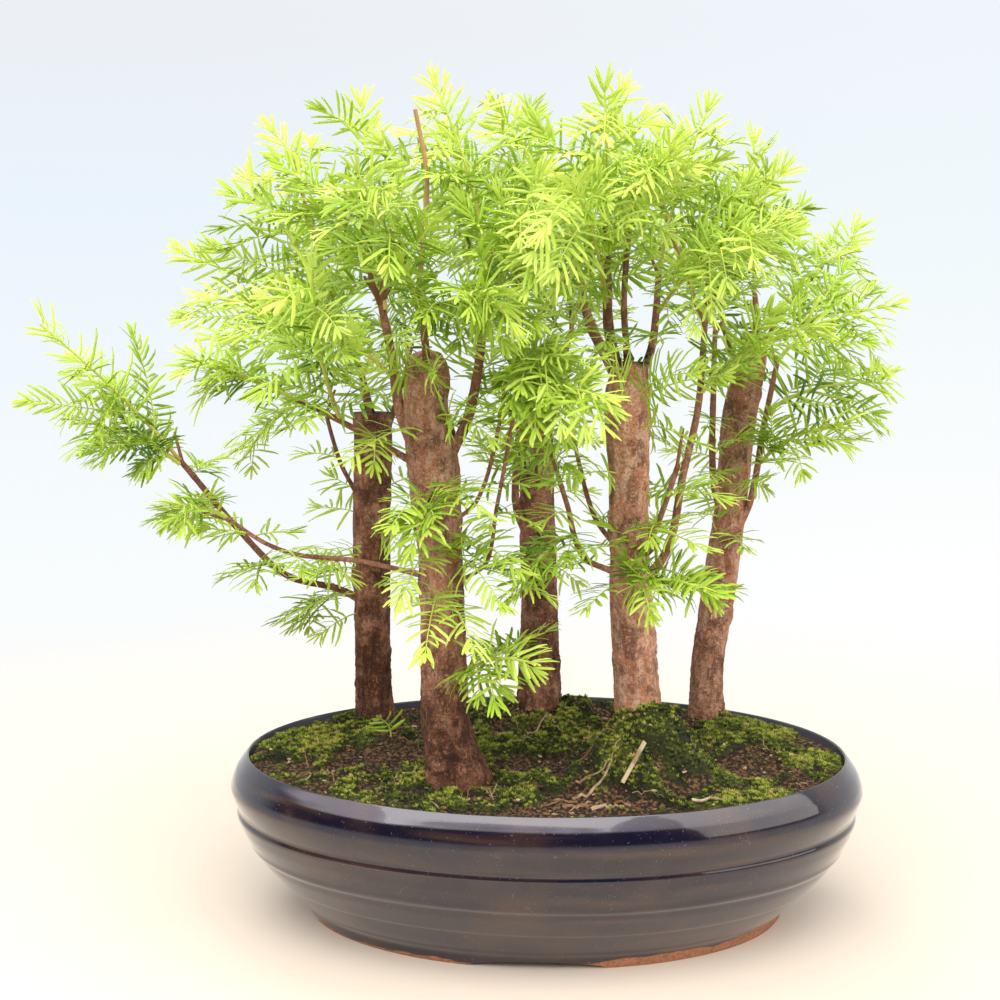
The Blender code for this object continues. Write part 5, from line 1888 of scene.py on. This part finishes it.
@dataclass
class ShootMaker:
    """Turns each CAD shoot into a fine one: the same stem and side sprays, and more beside them."""
    needle: Needle
    # Search trees of the trunks that the sprays keep clear of
    bearers: Sequence[BVHTree]
    finish: Material
    seed: int = 7
    attempts: int = 60
    stray_step: float = 0.0007
    bare_share: float = 0.16
    side_bare: float = 0.003
    side_angle: float = math.radians(50)
    side_share: float = 0.50
    # Where pairs of side sprays leave the stem, how long they are, and the side that the CAD has too
    sides: Rows = (
        (0.10, 0.24, 0), (0.22, 0.32, 1), (0.36, 0.34, -1), (0.46, 0.34, 0), (0.56, 0.31, 0), (0.66, 0.28, 0),
        (0.77, 0.24, 0), (0.88, 0.18, 0))
    # How many of the added side sprays are left out, at the crown's edge and inside it
    thin_outside: float = 0.55
    thin_inside: float = 0.10
    shortest: float = 0.010
    small_pitch: float = 0.020
    small_bare: float = 0.004
    leader: SprayStyle = LEADER
    side_spray: SprayStyle = SIDE_SPRAY

    def blade_up(self, heading: Vector, outward: Vector, roll: float) -> Vector:
        """The way a spray's upper side faces: up, or outwards on a stem that rises."""
        up = UP + outward * 0.6
        up = (up - heading * up.dot(heading)).normalized()
        return Matrix.Rotation(roll, 3, heading) @ up

    def stem_as_cad(self, node: str, foot: Vector, grain: Vector, tip: Vector,
                    along: float) -> tuple[StemLine, Vector]:
        """The stem's line and the way it faces, as the CAD node has them.

        The CAD bends a shoot aside by seeded draws until it is clear of the rest. The
        draws are made again here, and the one whose tip is the node's tip is taken.

        Args:
            node: The CAD node.
            foot: Where the shoot leaves its bearer.
            grain: The heading of its bearer there.
            tip: The tip that was aimed at.
            along: How far along the bearer it sits.

        Returns:
            The line and the upper direction.
        """
        corners = corners_of(node)
        nearest = corner_by(corners, foot)
        draw = random.Random(f"{self.seed} {node}")
        best = None
        for attempt in range(self.attempts):
            stray = Vector([draw.uniform(-1, 1) for _ in range(3)]) * attempt * self.stray_step
            roll = math.radians(draw.uniform(-35, 35))
            aim = tip + stray
            way = (aim - foot).normalized()
            leave = (way + grain * (0.9 if along > 0.99 else 0.35) + Vector((0, 0, 0.2))).normalized()
            outward = Vector((way.x, way.y - 0.4, 0)).normalized()
            line, up = self.line_of(foot, leave, aim, outward, roll, nearest)
            point, heading = line.at(1.0)
            end = np.array(point + heading * self.needle.reach(1.0))
            miss = ((corners - end) ** 2).sum(1).min()
            if best is None or miss < best[0]:
                best = (miss, line, up)
        return best[1], best[2]

    def line_of(self, foot: Vector, leave: Vector, tip: Vector, outward: Vector, roll: float,
                nearest: Vector) -> tuple[StemLine, Vector]:
        """One try's line and upper direction, from its seat on the bearer."""
        end = tip - (tip - foot).normalized() * self.needle.reach(1.0)
        up = self.blade_up(StemLine.arched(foot, leave, end).at(0.5)[1], outward, roll)
        return StemLine.arched(foot + leave * (nearest - foot).dot(leave), leave, end), up

    def inside_box(self, point: Vector) -> bool:
        """True if a point lies within the CAD part's box."""
        low, high = CAD_BOX
        return all(a <= value <= b for a, value, b in zip(low, point + TRAY_PLACE, high))

    def meets(self, foot: Vector, tip: Vector) -> bool:
        """True if the straight way from foot to tip runs into wood."""
        run = tip - foot
        start = foot + run * 0.15
        return any(tree.ray_cast(start, run.normalized(), run.length * 0.9)[0] is not None
                   for tree in self.bearers)

    def build(self, node: str, line: StemLine, up: Vector) -> None:
        """Model a fine shoot and dress it.

        Args:
            node: The CAD node that it replaces.
            line: The main stem's line.
            up: The way it faces.
        """
        name = node + "_leaves"
        leaves = Foliage(self.needle, name)
        draw = leaves.draw
        end = line.end
        length = (end - line.start).length + self.needle.reach(1.0)
        height = clamped((end.z - 0.10) / 0.25)
        # Painted light: shoots that end higher get a lighter tone, as the top of the crown is lit
        youth_and_light = 0.24 + 0.09 * height + draw.uniform(-0.05, 0.03)
        rooted = StemLine(line.start - (line.control - line.start).normalized() * 0.0012, line.control, end)
        leaves.add_spray(rooted, (end - line.start).length, up, self.bare_share * length, youth_and_light, self.leader)
        outward = Vector((end.x - line.start.x, end.y - line.start.y, 0)).normalized()
        outward = (outward + Vector((end.x, end.y, 0)).normalized() * 0.8).normalized()
        at_edge = end.x < -0.15 or end.x > 0.085 and end.z < 0.29 or end.z < 0.205
        thin = self.thin_outside if at_edge else self.thin_inside
        for number, (share, size, shared) in enumerate(self.sides):
            for way in (1, -1):
                point, heading, side, above = line.frame(share, up)
                # Painted shade: side sprays nearer a shoot's foot, inside the crown, get a darker tone
                tone = youth_and_light - 0.20 * (1.0 - share) + draw.uniform(-0.06, 0.06)
                if way == shared:
                    turned = heading * math.cos(self.side_angle) + side * way * math.sin(self.side_angle)
                    tip = turned + heading * 0.15 - above * 0.10
                    self.add_side(leaves, point + above * 0.0002, turned, tip, above,
                                  self.side_share * length, tone)
                    continue
                if thin > draw.random():
                    continue
                roll = draw.uniform(-0.55, 0.55) + (number % 2) * 1.3 * abs(heading.z)
                side = Matrix.Rotation(roll, 3, heading) @ side
                angle = self.side_angle + 0.42 * max(0.0, heading.z) + draw.uniform(-0.24, 0.16)
                turned = heading * math.cos(angle) + side * way * math.sin(angle) + outward * 0.28
                turned = turned.normalized()
                droop = draw.uniform(0.08, 0.56) - 0.08 * height + 0.30 * max(0.0, -turned.y)
                face = UP + outward * draw.uniform(0.1, 0.6) + leaves.stray(0.22)
                face.y -= 0.25
                face = (face - turned * face.dot(turned)).normalized()
                reach = size * length * draw.uniform(0.75, 1.15)
                self.add_side(leaves, point, turned, turned + heading * 0.12 - UP * droop, face, reach, tone)
        finish_piece(leaves.to_object(name), self.finish, Slot.NEEDLES, node)

    def add_side(self, leaves: Foliage, foot: Vector, turned: Vector, way: Vector, above: Vector,
                 reach: float, youth_and_light: float) -> None:
        """Add a side spray, cut shorter where it would leave the box or meet a trunk.

        Args:
            leaves: What the spray is added to.
            foot: Where it leaves the main stem.
            turned: The direction that it leaves in.
            way: From its foot to its tip, for a reach of 1.
            above: The way its upper side faces.
            reach: Its length.
            youth_and_light: Its tone, with painted light and shade in it.
        """
        for _ in range(6):
            tip = foot + way * reach
            if self.inside_box(tip) and not self.meets(foot, tip):
                break
            reach *= 0.8
        else:
            return
        if reach > self.shortest:
            leaves.add_spray(StemLine.arched(foot, turned, tip), reach, above, self.side_bare, youth_and_light,
                             self.side_spray)

    def build_small(self, tree: Tree) -> None:
        """Small sprays that break from a tree's trunk and branches, and its cut twigs, as one piece.

        Args:
            tree: The tree that bears them.
        """
        leaves = Foliage(self.needle, "small " + tree.name)
        draw = leaves.draw
        coarse = tree.trunk_samples()
        bare = coarse[2][3] + 0.006
        for height, x, y, z in tree.spec.small_sprays:
            axis = tree.axis_at(coarse, height * MM)
            tip = Vector(in_metres((x, y, z)))
            hang = UP * 0.09 * max(0.0, axis.y - tip.y)
            axis, tip = axis + hang, tip - hang
            way = tip - axis
            leave = (way.normalized() + UP * 0.35 + hang * 30).normalized()
            face = Vector((way.x, way.y - 0.010, 0.012)).normalized() + leaves.stray(0.15)
            leaves.add_spray(StemLine.arched(axis, leave, tip), way.length, face, bare,
                             draw.uniform(0.20, 0.30), self.side_spray)
        for name, branch in tree.spec.branches.items():
            self.dress_branch(leaves, tree, name, branch)
        for radius, tone, *line in tree.spec.cut_twigs:
            middle = [Vector(sample) for sample in smooth_points([in_metres(point) for point in line], 4)]
            radii = [radius * MM * (1.1 - 0.3 * place / len(middle)) for place in range(len(middle))]
            leaves.heap.add_strand(middle, radii, 7, tone)
        name = tree.name.replace("tree", "small_sprays")
        finish_piece(leaves.to_object(name), self.finish, Slot.NEEDLES)

    def dress_branch(self, leaves: Foliage, tree: Tree, name: str, branch: tuple) -> None:
        """Small sprays along a branch, and the stub of a cut twig at its tip.

        Args:
            leaves: What the sprays are added to.
            tree: The tree.
            name: The branch's name.
            branch: Radius at the root and the tip, then points.
        """
        draw = leaves.draw
        samples = [Vector(sample[:3]) for sample in tree.branch_samples(branch)]
        count = round(sum((b - a).length for a, b in zip(samples, samples[1:])) / self.small_pitch)
        for number in range(count):
            foot, grain = tree.stem_point(name, 0.22 + 0.74 * (number + draw.random()) / count)
            turn = draw.uniform(0, 2 * math.pi)
            flat = Vector((math.cos(turn), math.sin(turn) - 0.3, draw.uniform(-0.15, 0.35))).normalized()
            way = (flat + grain * 0.45).normalized()
            reach = draw.uniform(0.014, 0.030)
            face = UP + flat * 0.4 + leaves.stray(0.2)
            tip = foot + way * reach - UP * reach * (draw.uniform(0.0, 0.3) + 0.45 * max(0.0, -way.y))
            if self.inside_box(tip):
                # Their tones, lower than the shoots', are painted shade inside the crown
                leaves.add_spray(StemLine.arched(foot, way, tip), reach, face, self.small_bare,
                                 draw.uniform(0.14, 0.26), self.side_spray)
        foot, grain = tree.stem_point(name, 0.97)
        stub = foot + (grain + leaves.stray(0.25)) * draw.uniform(0.008, 0.022)
        leaves.heap.add_strand([foot, foot.lerp(stub, 0.5), stub], [0.0009, 0.0008, 0.0006], 6, 0.97)

    def build_seedling(self, soil: SoilBed) -> None:
        """A leafy shoot that stands by itself on the soil.

        Args:
            soil: The bed that it stands on.
        """
        x, y = in_metres((-76, 22))
        foot = Vector((x, y, soil.plain_height(x, y) - 0.002))
        tip = Vector(in_metres((-82, 10, 92)))
        nearest = corner_by(corners_of("seedling"), foot)
        line, up = self.line_of(foot, UP, tip, Vector((0, -3, 0)), 0.0, nearest)
        sprout = replace(self, leader=SEEDLING_SPRAY, side_spray=SEEDLING_SPRAY, side_share=0.25,
                         sides=((0.3, 0.2, 1),))
        sprout.build("seedling", line, up)


def corners_of(node: str) -> np.ndarray:
    """Points of a CAD node, from the middle of the tray's foot."""
    return np.array([vertex.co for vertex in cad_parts[node].data.vertices]) - np.array(TRAY_PLACE)


def corner_by(corners: np.ndarray, place: Vector) -> Vector:
    """The corner that lies nearest to a place."""
    return Vector(corners[np.argmin(((corners - np.array(place)) ** 2).sum(1))])


def wood_search_tree(node: str) -> BVHTree:
    """A search tree of a CAD tree, from the middle of the tray's foot."""
    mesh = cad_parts[node].data
    mesh.calc_loop_triangles()
    points = [vertex.co - TRAY_PLACE for vertex in mesh.vertices]
    return BVHTree.FromPolygons(points, [tri.vertices[:] for tri in mesh.loop_triangles])


# Studio

@dataclass
class Studio:
    """Pale floor, soft lights, pale background and the camera."""
    floor_colour: Colour = (0.68, 0.585, 0.485)
    # Colours of the background from low down to high up, on the left and on the right
    left_sky: Stops = (
        (0.0, (0.99, 0.98, 0.95)), (0.22, (0.945, 0.98, 0.99)), (0.64, (0.826, 0.905, 0.982)),
        (0.82, (0.839, 0.865, 0.904)))
    right_sky: Stops = (
        (0.0, (1.0, 1.0, 1.0)), (0.22, (1.0, 1.0, 1.0)), (0.60, (0.880, 0.947, 0.973)),
        (0.82, (0.870, 0.913, 0.965)))
    dark_room: Colour = (0.030, 0.028, 0.040)
    window: Colour = (3.3, 3.0, 3.3)
    room_tint: Colour = (0.97, 0.98, 1.0)
    room_light: float = 0.80
    # The floor is plain within the first distance of the middle and gone past the second
    floor_fade: tuple[float, float] = (0.17, 0.75)
    # Square lights that look at the crown's middle: place, side, watts and colour
    lights: tuple[tuple[str, Row, float, float, Colour], ...] = (
        ("key", (-0.15, -0.72, 1.25), 1.7, 33.0, (1.0, 0.975, 0.95)),
        ("side", (1.25, -0.55, 0.75), 1.4, 13.0, (1.0, 0.97, 0.94)),
        ("top", (-0.3, 0.5, 1.4), 0.9, 8.0, (0.97, 0.99, 1.0)))
    aim: Vector = field(default_factory=lambda: Vector((0.02, 0, 0.18)))
    camera_place: Vector = field(default_factory=lambda: Vector((0.0325, -0.6613, 0.2774)))
    camera_pitch: float = math.radians(90 - 7.08)
    camera_turn: float = math.radians(1.86)
    lens: float = 51.0

    def build_floor(self) -> None:
        """A round pale floor whose edge fades into the background."""
        deselect()
        bpy.ops.mesh.primitive_circle_add(vertices=96, radius=1.6, fill_type="NGON", location=(0, 0, -0.0002))
        floor = settle(bpy.context.object, "floor")
        paint = Paint("floor", {"Roughness": 0.6, "Base Color": (*self.floor_colour, 1.0)})
        reach = paint.add("ShaderNodeVectorMath", {0: paint.place}, operation="LENGTH").outputs["Value"]
        floor.data.materials.append(paint.drive(alpha=paint.span(reach, *self.floor_fade, 1.0, 0.0)))

    def build_background(self) -> None:
        """A background from warm white to pale blue, and a dark room with a window that gloss alone shows."""
        world = bpy.data.worlds.new("studio")
        bpy.context.scene.world = world
        world.use_nodes = True
        graph = Graph(world.node_tree)
        way = graph.add("ShaderNodeTexCoord").outputs["Generated"]
        parts = graph.add("ShaderNodeSeparateXYZ", {0: way}).outputs
        rise = graph.times(graph.plus(parts["Z"], 0.3), 1.667)
        plain = graph.mix(graph.span(parts["X"], -0.33, 0.33), graph.ramp(rise, self.left_sky),
                          graph.ramp(rise, self.right_sky))
        path = graph.add("ShaderNodeLightPath").outputs
        front = graph.times(path["Is Glossy Ray"], graph.span(parts["Y"], 0.25, -0.10))
        low = graph.times(front, graph.span(parts["Z"], -0.10, 0.0))
        high = graph.times(front, graph.span(parts["Z"], 0.36, 0.43))
        room_light = tuple(self.room_light * value for value in self.room_tint)
        dim = graph.mix(path["Is Camera Ray"], room_light, plain)
        fade = graph.span(parts["X"], 0.0, 1.3)
        room = graph.mix(low, dim, self.dark_room)
        colour = graph.mix(high, room, graph.mix(fade, self.window, self.dark_room))
        surface = world.node_tree.nodes["Background"]
        world.node_tree.links.new(colour, surface.inputs["Color"])
        surface.inputs["Strength"].default_value = 1.0

    def hang_lights(self) -> None:
        """Hang the soft lights."""
        for name, place, size, power, colour in self.lights:
            light = bpy.data.lights.new(name, "AREA")
            light.size, light.energy, light.color = size, power, colour
            lamp = bpy.data.objects.new(name, light)
            bpy.context.scene.collection.objects.link(lamp)
            lamp.location = place
            lamp.rotation_euler = (self.aim - Vector(place)).to_track_quat("-Z", "Y").to_euler()

    def build(self) -> None:
        """Set up the whole studio."""
        self.build_floor()
        self.build_background()
        self.hang_lights()
        camera = bpy.data.objects.new("camera", bpy.data.cameras.new("camera"))
        bpy.context.scene.collection.objects.link(camera)
        camera.location = self.camera_place
        camera.rotation_euler = (self.camera_pitch, 0.0, self.camera_turn)
        camera.data.lens = self.lens
        camera.data.sensor_width = 36.0
        bpy.context.scene.camera = camera
        bpy.context.scene.view_settings.view_transform = "Standard"


def main() -> None:
    """Build every piece in order."""
    logging.basicConfig(level=logging.INFO, format="%(name)s %(message)s")
    tray = Tray(GlazeFinish().build())
    tray.build()
    soil = SoilBed(tray, SoilFinish().build())
    soil.build()
    Moss(soil, MossFinish().build()).build()
    dry_wood = WoodFinish().build()
    Litter(soil, dry_wood).build()
    DeadStick(soil, dry_wood).build()
    screen = ScreenFinish().build()
    for node in ("drain_screen_left", "drain_screen_right"):
        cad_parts[node].data.materials.clear()
        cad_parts[node].data.materials.append(screen)

    bark = BarkFinish().build()
    bearers = [wood_search_tree("tree_" + name) for name in TREES]
    maker = ShootMaker(Needle(), bearers, NeedleFinish().build())
    for name, spec in TREES.items():
        tree = Tree("tree_" + name, spec, soil, bark)
        tree.build()
        for number, (branch, along, tip) in enumerate(spec.shoots, 1):
            node = f"shoot_{name}_{number:02d}"
            foot, grain = tree.stem_point(branch, along)
            line, up = maker.stem_as_cad(node, foot, grain, Vector(in_metres(tip)), along)
            maker.build(node, line, up)
        maker.build_small(tree)
    maker.build_seedling(soil)
    Studio().build()


if __name__ == "__main__":
    main()
